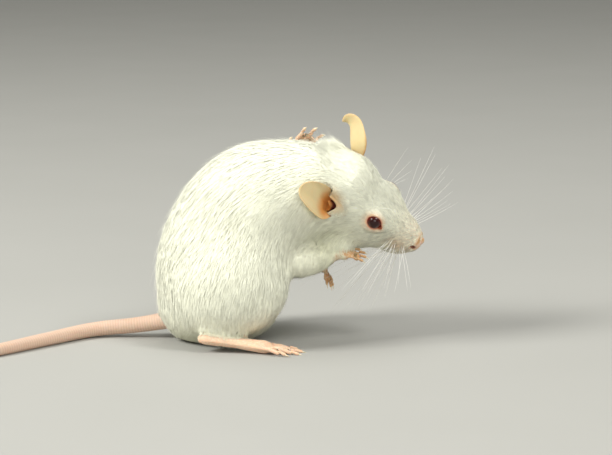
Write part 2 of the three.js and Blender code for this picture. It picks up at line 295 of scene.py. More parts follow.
@dataclass(frozen=True)
class EyeFinish:
    """A wet ruby eye: nearly black at the pupil, glowing red towards its edge."""

    pupil: tuple = (0.020, 0.002, 0.002, 1.0)
    iris: tuple = (0.36, 0.022, 0.012, 1.0)

    def make(self) -> bpy.types.Material:
        """Makes the material."""
        shader = Shader("ruby_eye")
        edge = shader.attribute("edge", "Fac")
        shader.set(
            Base_Color=shader.mix(self.pupil, self.iris, edge ** 2.0),
            Roughness=0.25,
            Specular_IOR_Level=0.1,
            Coat_Weight=1.0,
            Coat_Roughness=0.015,
            Coat_IOR=1.34,
        )
        return shader.material


@dataclass(frozen=True)
class HornFinish:
    """The soft end of a toe and the pale translucent horn of its claw."""

    def make(self) -> bpy.types.Material:
        """Makes the material."""
        shader = Shader("horn")
        grain = shader.noise(shader.place((1.0, 1.0, 4.0)), 0.4)
        tint = shader.attribute(TINT, "Color")
        worn = shader.mix(tint, (0.90, 0.84, 0.78, 1.0), 1.0, "MULTIPLY")
        shader.set(
            Base_Color=shader.mix(worn, tint, grain),
            Roughness=0.4,
            Subsurface_Weight=0.3,
            Subsurface_Radius=(1.0, 0.6, 0.4),
            Subsurface_Scale=0.4 * MM,
        )
        return shader.material


@dataclass(frozen=True)
class HairFinish:
    """A single clear white hair, as in a whisker."""

    def make(self) -> bpy.types.Material:
        """Makes the material."""
        shader = Shader("whisker_hair")
        along = shader.noise(shader.place(), 3.0)
        shader.set(
            Base_Color=shader.mix((0.80, 0.77, 0.70, 1.0), (0.93, 0.92, 0.88, 1.0), along),
            Roughness=0.35,
            Specular_IOR_Level=0.6,
        )
        return shader.material


# ------------------------------------------------------------------ meshes
def shaped_grid(across: int, along: int, place: Callable[[Array, Array], Array]) -> bmesh.types.BMesh:
    """Makes a grid and moves each corner to its place.

    Args:
        across: cells in the first direction.
        along: cells in the second direction.
        place: gives places in millimetres from two rows of shares between 0 and 1.

    Returns:
        The grid in metres, with corners that fall together merged and their shares stored.
    """
    grid = bmesh.new()
    bmesh.ops.create_grid(grid, x_segments=across, y_segments=along, size=1.0)
    layer = grid.verts.layers.float_vector.new(SHARE)
    corners = np.array([vert.co for vert in grid.verts])
    shares = np.clip((1.0 + corners) / 2.0, 0.0, 1.0)
    for vert, share, at in zip(grid.verts, shares, place(shares[:, 0], shares[:, 1]) * MM):
        vert[layer] = share
        vert.co = at
    bmesh.ops.remove_doubles(grid, verts=grid.verts, dist=2e-7)
    bmesh.ops.recalc_face_normals(grid, faces=grid.faces)
    return grid


def swept(line: Array, radii: Array, sides: int) -> bmesh.types.BMesh:
    """Makes a round rod with closed ends.

    Args:
        line: points of its middle, in millimetres.
        radii: its radius at each of them.
        sides: faces round it.

    Returns:
        The rod in metres.
    """
    tangents = unit(np.gradient(line, axis=0))
    aside = unit(np.cross(tangents, [0.13, 0.31, 0.94]))
    above = np.cross(tangents, aside)
    steps = len(line) + 2
    rows = np.clip(np.arange(steps) - 1, 0, len(line) - 1)
    open_ends = np.where((np.arange(steps) % (steps - 1)) == 0, 0.0, 1.0)

    def place(u: Array, v: Array) -> Array:
        """Where a corner goes on the rod."""
        step = np.rint(v * (steps - 1)).astype(int)
        row = rows[step]
        radius = (radii[row] * open_ends[step])[:, None]
        turn = (2.0 * math.pi * u)[:, None]
        return line[row] + radius * (np.cos(turn) * aside[row] + np.sin(turn) * above[row])

    return shaped_grid(sides, steps - 1, place)


def curve_through(points: Array, count: int) -> Array:
    """A smooth curve through points, at even shares of its length."""
    ends = np.vstack([2 * points[0] - points[1], points, 2 * points[-1] - points[-2]])
    t = np.linspace(0.0, 1.0, 24, endpoint=False)[:, None]
    parts = []
    for a, b, c, d in zip(ends, ends[1:], ends[2:], ends[3:]):
        cubic = 2 * b + (c - a) * t + (2 * a - 5 * b + 4 * c - d) * t**2
        parts.append((cubic + (3 * b - a - 3 * c + d) * t**3) / 2.0)
    fine = np.vstack([*parts, ends[-2:-1]])
    far = np.concatenate([[0.0], np.cumsum(np.linalg.norm(np.diff(fine[:, :3], axis=0), axis=1))])
    even = np.linspace(0.0, far[-1], count)
    return np.column_stack([np.interp(even, far, column) for column in fine.T])


def points_of(mesh: bpy.types.Mesh) -> Array:
    """The corners of a mesh, in millimetres."""
    flat = np.empty(len(mesh.vertices) * 3, np.float32)
    mesh.vertices.foreach_get("co", flat)
    return flat.reshape(-1, 3).astype(float) / MM


def shares_of(mesh: bpy.types.Mesh) -> tuple:
    """The two shares stored at the corners of a shaped grid."""
    flat = np.empty(len(mesh.vertices) * 3, np.float32)
    mesh.attributes[SHARE].data.foreach_get("vector", flat)
    return tuple(flat.reshape(-1, 3).T[:2].astype(float))


def move_points(mesh: bpy.types.Mesh, points: Array) -> None:
    """Writes the corners of a mesh from millimetres."""
    mesh.vertices.foreach_set("co", (points * MM).astype(np.float32).ravel())
    mesh.update()


def normals_of(mesh: bpy.types.Mesh) -> Array:
    """The normals at the corners of a mesh."""
    flat = np.empty(len(mesh.vertices) * 3, np.float32)
    mesh.vertices.foreach_get("normal", flat)
    return flat.reshape(-1, 3).astype(float)


def edges_of(mesh: bpy.types.Mesh) -> Array:
    """The two corners of each edge."""
    flat = np.empty(len(mesh.edges) * 2, np.int32)
    mesh.edges.foreach_get("vertices", flat)
    return flat.reshape(-1, 2)


def nearest(tree: BVHTree, points: Array, scale: float = MM) -> tuple:
    """Finds the nearest places on a tree of faces.

    Args:
        tree: the tree.
        points: places in millimetres.
        scale: the tree's units in a millimetre.

    Returns:
        The nearest places in millimetres, and the numbers of their faces.
    """
    found = [tree.find_nearest(point) for point in (points * scale).tolist()]
    return np.array([hit[0] for hit in found]) / scale, np.array([hit[2] for hit in found])


def spread(values: Array, edges: Array, rounds: int, share: Array | float) -> Array:
    """Moves values towards their neighbours' mean.

    Args:
        values: a row for each corner.
        edges: the corners that each edge joins.
        rounds: how many times.
        share: how far each time, the same for all corners or one for each.

    Returns:
        The smoothed rows.
    """
    values = values.reshape(len(values), -1).copy()
    a, b = edges.T
    count = np.maximum(np.bincount(edges.ravel(), minlength=len(values)), 1)
    for _ in range(rounds):
        for column in values.T:
            total = np.bincount(a, column[b], len(column)) + np.bincount(b, column[a], len(column))
            column += (total / count - column) * share
    return values.squeeze()


def put(name: str, mesh: bpy.types.Mesh, materials: list, nodes: list) -> bpy.types.Object:
    """Adds a finished piece to the scene.

    Args:
        name: the piece's name.
        mesh: its mesh, already in place.
        materials: its materials.
        nodes: the nodes that it stands for.

    Returns:
        The piece.
    """
    mesh.name = name
    for material in materials:
        mesh.materials.append(material)
    mesh.shade_smooth()
    piece = bpy.data.objects.new(name, mesh)
    bpy.context.scene.collection.objects.link(piece)
    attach(piece, "root")
    if nodes:
        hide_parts(*nodes)
    log.info("%s: %d faces", name, len(mesh.polygons))
    return piece


def joined(parts: list) -> bpy.types.Mesh:
    """One mesh from several; they are used up."""
    whole = bmesh.new()
    for part in parts:
        mesh = bpy.data.meshes.new("part")
        part.to_mesh(mesh)
        part.free()
        whole.from_mesh(mesh)
        bpy.data.meshes.remove(mesh)
    mesh = bpy.data.meshes.new("joined")
    whole.to_mesh(mesh)
    whole.free()
    return mesh


def paint_points(mesh: bpy.types.Mesh, colours: Array) -> None:
    """Stores a colour for each corner."""
    layer = mesh.color_attributes.new(TINT, "FLOAT_COLOR", "POINT")
    rows = np.column_stack([colours, np.ones(len(colours))])
    layer.data.foreach_set("color", rows.astype(np.float32).ravel())


# ------------------------------------------------------------------ colours
class Colour(Enum):
    """The animal's colours, and the painted shade of some places."""

    HAIR = "#f7f8e6"
    SHADE = "#ebe7cf"
    # painted shade for the throat, the forearms and the underside
    UNDER_SHADE = "#cbcbac"
    MUZZLE = "#e6be9c"
    NOSE = "#e6cbb4"
    LID = "#c4876c"
    CORNER = "#a4501f"
    SOCKET = "#7a1d16"
    # painted shade for the nostrils and the line of the mouth
    NOSTRIL_AND_MOUTH_SHADE = "#5c1a12"
    TOE = "#e6c3a6"
    # painted shade: the forepaws' colour, a darker tan than the hind feet's
    PAW_SHADE = "#c99f70"
    HORN = "#efe0c4"
    EAR = "#d6c698"
    EAR_RIM = "#cfa468"
    CONCHA = "#cf8f48"
    # painted shade for the opening of the ear
    CANAL_SHADE = "#4c0c08"
    TAIL = "#dcc4b0"
    TAIL_RING = "#bf9f8b"

    @property
    def light(self) -> Array:
        """The colour as light."""
        return paint(self.value)


# ------------------------------------------------------------------ places on the head
@dataclass(frozen=True)
class Patch:
    """A soft place on the head: its middle and reach ahead, to either side and up, in the head's axes."""

    middle: tuple
    reach: tuple

    def axes(self, points: Array) -> zip:
        """For each axis: the points' places on it, the middle and the reach."""
        ahead, left, up = HEAD.local(points).T
        return zip((ahead, np.abs(left), up), self.middle, self.reach)

    def share(self, points: Array) -> Array:
        """1 in the middle of the place, falling to 0 about it."""
        share = np.ones(len(points))
        for values, middle, reach in self.axes(points):
            share = share * hill(values, middle, reach)
        return share

    def away(self, points: Array) -> Array:
        """How far points lie from the middle, in shares of the reach."""
        total = np.zeros(len(points))
        for values, middle, reach in self.axes(points):
            total = total + ((values - middle) / reach) ** 2
        return np.sqrt(total)


NOSTRIL_HOLE = Patch((19.0, 1.95, -4.95), (0.42, 0.55, 0.36))
NOSTRIL_TAIL = Patch((18.45, 2.3, -4.5), (0.45, 0.55, 0.2))
BARE_NOSE = Patch((19.5, 0.0, -4.6), (1.35, 2.35, 1.25))


# ------------------------------------------------------------------ eyes
@dataclass
class Eye:
    """One ruby eye in its socket."""

    name: str
    side: float
    radius: float = 1.45
    width: float = 1.37
    height: float = 1.22
    corner_angle: float = -0.30
    corner_reach: float = 0.45
    lid: float = 0.09

    def __post_init__(self) -> None:
        """Finds the eye's centre and its own axes."""
        low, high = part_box(self.name)
        self.centre = np.array((low + high) / 2.0) / MM
        self.out = unit(HEAD.turned((0.1, self.side, 0.42)))
        ahead = np.array(HEAD.forward)
        self.ahead = unit(ahead - ahead @ self.out * self.out)
        rise = np.cross(self.out, self.ahead)
        self.rise = rise * np.sign(rise @ np.array(HEAD.up))

    def local(self, points: Array) -> tuple:
        """Distances ahead, up and out from the eye's centre."""
        away = points - self.centre
        return away @ self.ahead, away @ self.rise, away @ self.out

    def opening(self, ahead: Array, rise: Array) -> tuple:
        """How far points lie outside the edge of the lids.

        Args:
            ahead: distances ahead of the centre.
            rise: distances above it.

        Returns:
            The distance outside the lids' edge, the edge's own radius, and a share that is 1
            in the front corner.
        """
        angle = np.arctan2(rise, ahead)
        corner = hill(angle, self.corner_angle, 0.30)
        oval = 1.0 / np.hypot(np.cos(angle) / self.width, np.sin(angle) / self.height)
        edge = oval + self.corner_reach * corner
        return np.hypot(ahead, rise) - edge, edge, corner

    def sculpt(self, points: Array) -> Array:
        """Moves the skin's points to make lids and a socket behind the eye."""
        ahead, rise, out = self.local(points)
        outside, edge, corner = self.opening(ahead, rise)
        far = np.hypot(ahead, rise)
        near = (out > -0.9) & (outside < 1.7) & (far < 3.6)
        ball = np.sqrt(np.maximum(self.radius**2 - far**2, 0.0))
        brim = np.sqrt(np.maximum(self.radius**2 - np.minimum(edge, 1.38) ** 2, 0.0))
        crest = brim + self.lid * (1.0 - 0.9 * corner)
        fold = -0.07 * hill(outside, 0.62, 0.16)
        lid = crest - 0.10 * ramp(outside, 0.0, 0.5) + fold
        skin = lid + (out - lid) * ramp(outside, 0.35, 1.6)
        socket = np.where(far < self.radius, ball - 0.3, brim - 0.55)
        height = np.where(outside < 0.0, socket, skin)
        moved = points + (height - out)[:, None] * self.out
        return np.where(near[:, None], moved, points)

    def tint(self, points: Array, colours: Array) -> Array:
        """Reddens the lids and the front corner."""
        ahead, rise, out = self.local(points)
        outside, _, corner = self.opening(ahead, rise)
        near = (out > -1.0) & (np.hypot(ahead, rise) < 4.0)
        colours = blended(colours, Colour.MUZZLE.light, near * 0.75 * (1 - ramp(outside, 0.3, 1.4)))
        colours = blended(colours, Colour.LID.light, near * (1 - ramp(outside, 0.04, 0.36)))
        browned = near * corner * (1 - ramp(outside, 0.1, 0.55))
        colours = blended(colours, Colour.CORNER.light, browned)
        return blended(colours, Colour.SOCKET.light, near * (1 - ramp(outside, -0.1, 0.04)))

    def build(self, finish: bpy.types.Material) -> bpy.types.Object:
        """Makes the eyeball, with a slight bulge of the cornea."""
        ball = bmesh.new()
        bmesh.ops.create_uvsphere(ball, u_segments=40, v_segments=28, radius=self.radius)
        points = np.array([vert.co for vert in ball.verts])
        points[:, 2] += 0.05 * ramp(points[:, 2], 0.4, self.radius)
        edge = 1.0 - np.clip(points[:, 2] / self.radius, 0.0, 1.0)
        axes = np.array([self.ahead, np.cross(self.out, self.ahead), self.out])
        for vert, at in zip(ball.verts, (points @ axes + self.centre) * MM):
            vert.co = at
        mesh = joined([ball])
        layer = mesh.attributes.new("edge", "FLOAT", "POINT")
        layer.data.foreach_set("value", edge.astype(np.float32))
        return put(f"{self.name}ball", mesh, [finish], [self.name])


# ------------------------------------------------------------------ ears
@dataclass
class Ear:
    """One ear: a thin cupped leaf, bent back towards its tip, with its slit in the skin before it.

    A pair of numbers is where something begins and where it is full, or a middle and a reach.
    """

    name: str
    side: float
    base: tuple
    along: tuple
    opening: tuple
    length: float
    width: float
    cup: float
    tip_cup: float
    bend: float
    bend_from: float
    skew: float
    buried: float
    screen: float
    wall: float = 0.46
    neck: float = 0.5
    sides: int = 64
    rings: int = 40
    slit_ahead: float = 2.0
    slit_middle: float = -0.55
    slit_bow: float = 0.62
    slit_low_bow: float = 0.18
    slit_width: float = 0.27
    slit_low: tuple = (-2.7, -2.1)
    slit_high: tuple = (0.9, 1.4)
    slit_near: tuple = (5.0, 6.0)
    lip_line: tuple = (0.75, 0.4)
    lip_low: tuple = (-3.2, -2.2)
    lip_high: tuple = (1.0, 1.8)
    bare_behind: tuple = (-3.6, -2.8)
    bare_before: tuple = (0.7, 1.3)
    bare_low: tuple = (-4.0, -3.2)
    bare_high: tuple = (1.9, 2.5)

    def __post_init__(self) -> None:
        """Finds the ear's own axes, its spine and its foot in the skin."""
        self.root = HEAD.place(self.base)
        self.axis = unit(np.array(self.along))
        opening = np.array(self.opening)
        self.open = unit(opening - opening @ self.axis * self.axis)
        self.across = np.cross(self.open, self.axis)
        self.foot = self.root + self.buried * self.axis
        self.heights = np.linspace(0.0, 1.0, 81)
        self.angles = math.radians(self.bend) * ramp(self.heights, self.bend_from, 1.0)
        step = self.length / 80.0
        self.rise = np.concatenate([[0.0], np.cumsum(np.cos(self.angles[:-1]) * step)])
        self.lean = np.concatenate([[0.0], np.cumsum(-np.sin(self.angles[:-1]) * step)])

    def place(self, ball: Array) -> Array:
        """Where the points of a ball of radius 1 go on the leaf; the ball's poles are its two faces."""
        x, z, y = ball.T
        height = (1.0 + z) / 2.0
        waist = self.neck + (1.0 - self.neck) * ramp(height, 0.0, 0.5)
        aside = x * waist * self.width / 2.0 + self.skew * ramp(height, 0.3, 1.0)
        bead = 1.0 + 0.45 * hill(np.abs(y), 0.22, 0.16) * ramp(height, 0.2, 0.5)
        wall = np.sign(y) * np.abs(y) ** 0.45 * bead * self.wall / 2.0
        cup = self.cup * (1.0 - (1.0 - self.tip_cup) * height)
        fold = 0.10 * np.sin(8.0 * x + 5.0 * height) * hill(height, 0.62, 0.2)
        crease = -0.22 * hill(x - 0.25 * self.side, 0.0, 0.16) * hill(height, 0.42, 0.2)
        hollow = wall + cup * x * x / np.maximum(np.hypot(x, y), 1e-9) + fold + crease
        angle = np.interp(height, self.heights, self.angles)
        rise = np.interp(height, self.heights, self.rise) + np.sin(angle) * hollow
        lean = np.interp(height, self.heights, self.lean) + np.cos(angle) * hollow
        forward = rise[:, None] * self.axis + lean[:, None] * self.open
        return self.root + aside[:, None] * self.across + forward

    def slit(self, points: Array) -> tuple:
        """Where points of the skin lie about the slit of the ear.

        Args:
            points: places in millimetres.

        Returns:
            The distance before the slit, the distance along it towards the cheek, and 1 near the ear.
        """
        away = points - self.foot
        along = -self.side * (away @ self.across)
        bow = self.slit_bow + self.slit_low_bow * (along < self.slit_middle)
        before = away @ self.open - (self.slit_ahead - bow * (along - self.slit_middle) ** 2)
        return before, along, 1.0 - ramp(np.linalg.norm(away, axis=1), *self.slit_near)

    def cut(self, points: Array) -> Array:
        """1 in the slit, 0 away from it."""
        before, along, near = self.slit(points)
        share = near * hill(before, 0.0, self.slit_width)
        return share * ramp(along, *self.slit_low) * (1.0 - ramp(along, *self.slit_high))

    def lip(self, points: Array) -> Array:
        """1 on the ridge of skin before the slit."""
        before, along, near = self.slit(points)
        share = near * hill(before, *self.lip_line)
        return share * ramp(along, *self.lip_low) * (1.0 - ramp(along, *self.lip_high))

    def bare(self, points: Array) -> Array:
        """1 where the skin about the ear is bare, 0 where hair grows."""
        before, along, near = self.slit(points)
        away = points - self.foot
        wing = np.minimum((2.0 * (away @ self.across) / (self.neck * self.width)) ** 2, 1.0)
        near = near * ramp(away @ self.open - self.screen * self.cup * wing, -1.0, -0.4)
        inside = ramp(before, *self.bare_behind) * (1.0 - ramp(before, *self.bare_before))
        return near * inside * ramp(along, *self.bare_low) * (1.0 - ramp(along, *self.bare_high))

    def tan(self, points: Array) -> Array:
        """1 on the thinly haired skin before the slit."""
        before, along, near = self.slit(points)
        ahead = (points - self.foot) @ self.open
        return near * hill(along, -1.8, 2.0) * hill(ahead, 2.3, 1.7) * ramp(before, -0.4, 0.2)

    def tint(self, points: Array, colours: Array) -> Array:
        """Colours the skin about the ear, with painted shade in its slit."""
        before, along, near = self.slit(points)
        colours = blended(colours, Colour.EAR_RIM.light, 0.85 * self.tan(points))
        concha = self.bare(points) * (1.0 - ramp(before, -0.1, 0.3))
        colours = blended(colours, Colour.CONCHA.light, concha)
        fold = near * hill(before, 0.0, 0.7) * hill(along, 1.8, 0.5)
        colours = blended(colours, Colour.LID.light, 0.7 * fold)
        # painted shade in the slit of the ear
        return blended(colours, Colour.CANAL_SHADE.light, np.minimum(1.5 * self.cut(points), 1.0))

    def plugs(self) -> list:
        """Middles of the balls that close the socket round the buried foot."""
        row = np.linspace(-1.0, 1.0, 7)[:, None]
        inward = (1.8 + 0.5 * row**2) * self.axis
        return list(self.foot - inward + 0.34 * self.width * row * self.across + row**2 * self.open)

    def build(self) -> bpy.types.Mesh:
        """Makes the ear as a closed leaf, with its colours."""
        leaf = bmesh.new()
        bmesh.ops.create_uvsphere(leaf, u_segments=self.sides, v_segments=self.rings, radius=1.0)
        ball = np.array([vert.co for vert in leaf.verts])
        for vert, at in zip(leaf.verts, self.place(ball) * MM):
            vert.co = at
        bmesh.ops.recalc_face_normals(leaf, faces=leaf.faces)
        mesh = joined([leaf])
        across, height, inner = ball[:, 0], (1.0 + ball[:, 1]) / 2.0, ramp(ball[:, 2], -0.02, 0.08)
        colours = np.tile(Colour.EAR.light, (len(ball), 1))
        rim = hill(np.abs(ball[:, 2]), 0.0, 0.2) * (0.35 + 0.5 * (1.0 - ramp(height, 0.3, 0.7)))
        colours = blended(colours, Colour.EAR_RIM.light, rim)
        concha = inner * (1.0 - ramp(height, 0.36, 0.62)) * (1.0 - 0.5 * ramp(np.abs(across), 0.5, 0.95))
        colours = blended(colours, Colour.CONCHA.light, concha)
        # painted shade at the foot of the leaf's hollow, where the ear opens
        canal_shade = inner * (1.0 - ramp(height, 0.17, 0.26))
        paint_points(mesh, blended(colours, Colour.CANAL_SHADE.light, canal_shade))
        return mesh


# ------------------------------------------------------------------ tail
@dataclass
class Tail:
    """The tail: laid on the floor in a loose curve, with fine rings of scales."""

    rows: tuple = (
        (-1.5, 1.5, 4.6, 1.9), (-3.5, 1.8, 3.9, 1.8), (-10.4, 3, 2.5, 1.6), (-19.6, 2.4, 1.6, 1.5),
        (-28, -5, 1.3, 1.4), (-38, -15, 1.1, 1.25), (-48, -22.5, 1, 1.1), (-58, -26, 0.8, 0.95),
        (-67, -25, 0.65, 0.8), (-74, -20, 0.45, 0.6), (-74.4, -19.7, 0.44, 0.1),
    )
    pitch: float = 0.55
    relief: float = 0.05
    sides: int = 18

    def __post_init__(self) -> None:
        """Lays out the tail's middle line."""
        rows = np.array(self.rows, float)
        self.length = float(np.linalg.norm(np.diff(rows[:, :3], axis=0), axis=1).sum())
        self.steps = int(self.length / self.pitch * 4)
        line = curve_through(rows, self.steps)
        self.line, self.radii = line[:, :3], np.minimum(line[:, 3], 1.9)

    def wave(self) -> Array:
        """The scale rings' height at each step, from 0 to 1."""
        share = (np.arange(self.steps) / 4.0) % 1.0
        return np.where(share < 0.75, share / 0.75, 0.0)

    def build(self) -> bpy.types.Mesh:
        """Makes the tail as a closed rod, with its colours."""
        taper = ramp(self.radii, 0.2, 0.8)
        radii = self.radii - self.relief * (1.0 - self.wave()) * taper
        mesh = joined([swept(self.line, radii, self.sides)])
        points = points_of(mesh)
        points[:, 2] = np.maximum(points[:, 2], FLOOR_GAP)
        move_points(mesh, points)
        step = np.rint(shares_of(mesh)[1] * (self.steps + 1)).astype(int) - 1
        wave = self.wave()[np.clip(step, 0, self.steps - 1)]
        colours = np.tile(Colour.TAIL.light, (len(points), 1))
        paint_points(mesh, blended(colours, Colour.TAIL_RING.light, 0.55 * (1.0 - wave)))
        return mesh


# ------------------------------------------------------------------ skin
class Part(Enum):
    """The nodes of flesh, each with the depth of the coat that lies on it and its smoothing."""

    TRUNK = ("trunk", 0.5, 0.5)
    RIGHT_THIGH = ("right_thigh", 0.5, 0.5)
    NECK = ("neck", 0.45, 0.5)
    HEAD = ("head", 0.42, 0.35)
    NOSE = ("nose", 0.0, 0.2)
    LEFT_THIGH = ("left_thigh", 0.45, 0.45)
    LEFT_SHANK = ("left_shank", 0.35, 0.4)
    RIGHT_FOREARM = ("right_forearm", 0.3, 0.4)
    LEFT_FOREARM = ("left_forearm", 0.3, 0.4)
    RIGHT_HIND_FOOT = ("right_hind_foot", 0.0, 0.12)
    LEFT_HIND_FOOT = ("left_hind_foot", 0.0, 0.12)
    RIGHT_FOREPAW = ("right_forepaw", 0.0, 0.12)
    LEFT_FOREPAW = ("left_forepaw", 0.0, 0.12)
    TAIL_ROOT = ("tail_1", 0.7, 0.3)
    RIGHT_EYE = ("right_eye", 0.3, 0.2)
    LEFT_EYE = ("left_eye", 0.3, 0.2)

    def __init__(self, node: str, depth: float, smoothing: float) -> None:
        """Keeps the node's name and its two numbers."""
        self.node = node
        self.depth = depth
        self.smoothing = smoothing


BARE = ("right_hind_foot", "left_hind_foot", "right_forepaw", "left_forepaw", "nose")


@dataclass
class Skin:
    """The one skin under the coat.

    A pair of numbers is where something begins and where it is full, or a middle and a reach. On the
    head they are in the head's own axes, and elsewhere they are heights.
    """

    eyes: list
    ears: list
    tail: Tail
    voxel: float = 0.30
    swell: float = 0.22
    rounds: int = 46
    kept: float = 0.54
    nose_tip: tuple = (20.3, 0.0, -4.4)
    plug: float = 1.7
    face_drop: float = 0.36
    nostril_depth: float = 0.9
    cleft_depth: float = 0.30
    brim_depth: float = 0.08
    furrow_depth: float = 0.3
    mouth_depth: float = 0.35
    pad_swell: float = 0.16
    slit_depth: float = 1.2
    lip_height: float = 0.3
    nostril_tail: float = 0.7
    narrowing: float = 0.14
    narrowed: tuple = (16.5, 19.0)
    cleft_width: float = 0.16
    cleft_ahead: tuple = (17.2, 18.6)
    cleft_below: tuple = (4.9, 5.6)
    brim_middle: float = 18.15
    brim_slope: float = 0.25
    brim_width: float = 0.22
    brim_ahead: tuple = (16.0, 17.0)
    furrow_middle: float = 14.0
    furrow_slope: float = 0.45
    furrow_level: float = -4.3
    furrow_side: tuple = (2.2, 3.2)
    pad_ahead: tuple = (16.0, 1.4)
    pad_up: tuple = (-4.2, 1.4)
    pad_side: tuple = (1.8, 2.8)
    mouth_level: float = -7.35
    mouth_rise: float = 0.9
    mouth_bend: tuple = (0.2, 2.2)
    mouth_width: float = 0.17
    mouth_back: tuple = (11.0, 12.5)
    mouth_front: tuple = (17.6, 18.2)
    mouth_side: tuple = (2.2, 3.0)
    # how far painted shade reaches about the throat, and the heights over which it fades from the
    # underside
    throat_shade_reach: float = 7.0
    underside: tuple = (2.0, 11.0)
    face: tuple = (5.0, 7.0)
    muzzle: tuple = (11.5, 18.0)
    # heights between which the bare forepaws take painted shade
    paw_shade_from: tuple = (6.0, 8.0)
    paw_shade_to: tuple = (28.0, 30.0)
    evening_rounds: int = 90
    evening: float = 0.6
    evening_edge: float = 1.5
    bridges: tuple = (((28.2, -3.9, 19.9), 1.5), ((29.7, -3.7, 19.9), 1.4), ((31.1, -3.5, 20.1), 1.1))
    eased: tuple = (((4.6, 10.5, 17.4), 2.4), ((3.3, 12.0, 13.9), 3.2), ((3.3, 12.0, 9.8), 2.2))

    def gather(self) -> tuple:
        """Copies the flesh nodes, swollen until they meet.

        Returns:
            The copies as one mesh, and a tree of their faces with a node's number for each.
        """
        whole = bmesh.new()
        owners = []
        for number, part in enumerate(Part):
            copy = bmesh.new()
            copy.from_mesh(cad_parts[part.node].data)
            bmesh.ops.remove_doubles(copy, verts=copy.verts, dist=1e-6)
            bmesh.ops.triangulate(copy, faces=copy.faces)
            copy.normal_update()
            for vert in copy.verts:
                vert.co += vert.normal * self.swell * MM
            owners += [number] * len(copy.faces)
            mesh = bpy.data.meshes.new("copy")
            copy.to_mesh(mesh)
            copy.free()
            whole.from_mesh(mesh)
            bpy.data.meshes.remove(mesh)
        tree = BVHTree.FromBMesh(whole)
        balls = [(spot, self.plug) for ear in self.ears for spot in ear.plugs()]
        for middle, radius in [*balls, *self.bridges]:
            at = Matrix.Translation(Vector(middle) * MM)
            bmesh.ops.create_icosphere(whole, subdivisions=3, radius=radius * MM, matrix=at)
        mesh = bpy.data.meshes.new("flesh")
        whole.to_mesh(mesh)
        whole.free()
        return mesh, tree, np.array(owners)

    def cast(self, flesh: bpy.types.Mesh) -> bpy.types.Mesh:
        """Casts the copies into one even skin."""
        flesh.transform(Matrix.Scale(1.0 / MM, 4))
        form = bpy.data.objects.new("form", flesh)
        bpy.context.scene.collection.objects.link(form)
        remesh = form.modifiers.new("cast", "REMESH")
        remesh.mode = "VOXEL"
        remesh.voxel_size = self.voxel
        graph = bpy.context.evaluated_depsgraph_get()
        mesh = bpy.data.meshes.new_from_object(form.evaluated_get(graph))
        bpy.data.objects.remove(form)
        mesh.transform(Matrix.Scale(MM, 4))
        return mesh

    def settle(self, mesh: bpy.types.Mesh, tree: BVHTree, owners: Array) -> None:
        """Smooths the cast skin and lets it down by the depth of the coat."""
        points = points_of(mesh)
        owner = owners[nearest(tree, points)[1]]
        edges = edges_of(mesh)
        depth = np.array([part.depth for part in Part])[owner]
        ahead = HEAD.local(points)[:, 0]
        head = owner == list(Part).index(Part.HEAD)
        depth = depth - np.where(head, self.face_drop * ramp(ahead, -2.0, 14.0), 0.0)
        depth = spread(depth + self.swell, edges, 14, 0.5)
        smoothing = np.array([part.smoothing for part in Part])[owner]
        smoothing = spread(smoothing, edges, 4, 0.5)
        points = spread(points, edges, self.rounds, smoothing)
        move_points(mesh, points)
        normals = normals_of(mesh)
        shrunk = ((nearest(tree, points)[0] - points) * normals).sum(axis=1)
        shrunk = spread(shrunk, edges, 16, 0.5)
        points += normals * (shrunk - depth)[:, None]
        points = spread(points, edges, 5, np.minimum(smoothing, 0.3))
        bare = np.isin(owner, [list(Part).index(part) for part in Part if part.node in BARE])
        bare = spread(bare.astype(float), edges, 3, 0.5)
        for _ in range(2):
            move_points(mesh, points)
            normals = normals_of(mesh)
            lacking = ((nearest(tree, points)[0] - points) * normals).sum(axis=1) - self.swell
            points += normals * (bare * spread(lacking, edges, 2, 0.5))[:, None]
        even = np.zeros(len(points))
        spots = [(ear.foot, 3.0) for ear in self.ears] + [(np.array(at), 1.1) for at, _ in self.bridges]
        spots += [(np.array(at), reach) for at, reach in self.eased]
        for middle, reach in spots:
            far = np.linalg.norm(points - middle, axis=1)
            even = np.maximum(even, 1.0 - ramp(far, reach, reach + self.evening_edge))
        points = spread(points, edges, self.evening_rounds, self.evening * even)
        points[:, 2] = np.maximum(points[:, 2], FLOOR_GAP)
        move_points(mesh, points)

    def thin(self, mesh: bpy.types.Mesh, tree: BVHTree, owners: Array) -> bpy.types.Mesh:
        """Makes the skin coarser where the coat hides it.

        Args:
            mesh: the settled skin, which is used up.
            tree: the tree of the nodes' faces.
            owners: each face's node, by number.

        Returns:
            The lighter skin.
        """
        form = bpy.data.objects.new("thinned", mesh)
        bpy.context.scene.collection.objects.link(form)
        hidden = form.vertex_groups.new(name="hidden")
        found = nearest(tree, points_of(mesh))[1]
        furred = [list(Part).index(part) for part in (Part.TRUNK, Part.RIGHT_THIGH, Part.NECK)]
        hidden.add(np.flatnonzero(np.isin(owners[found], furred)).tolist(), 1.0, "REPLACE")
        lighter = form.modifiers.new("lighter", "DECIMATE")
        lighter.ratio = self.kept
        lighter.vertex_group = hidden.name
        lighter.vertex_group_factor = 1000.0
        graph = bpy.context.evaluated_depsgraph_get()
        light = bpy.data.meshes.new_from_object(form.evaluated_get(graph))
        bpy.data.objects.remove(form)
        return light

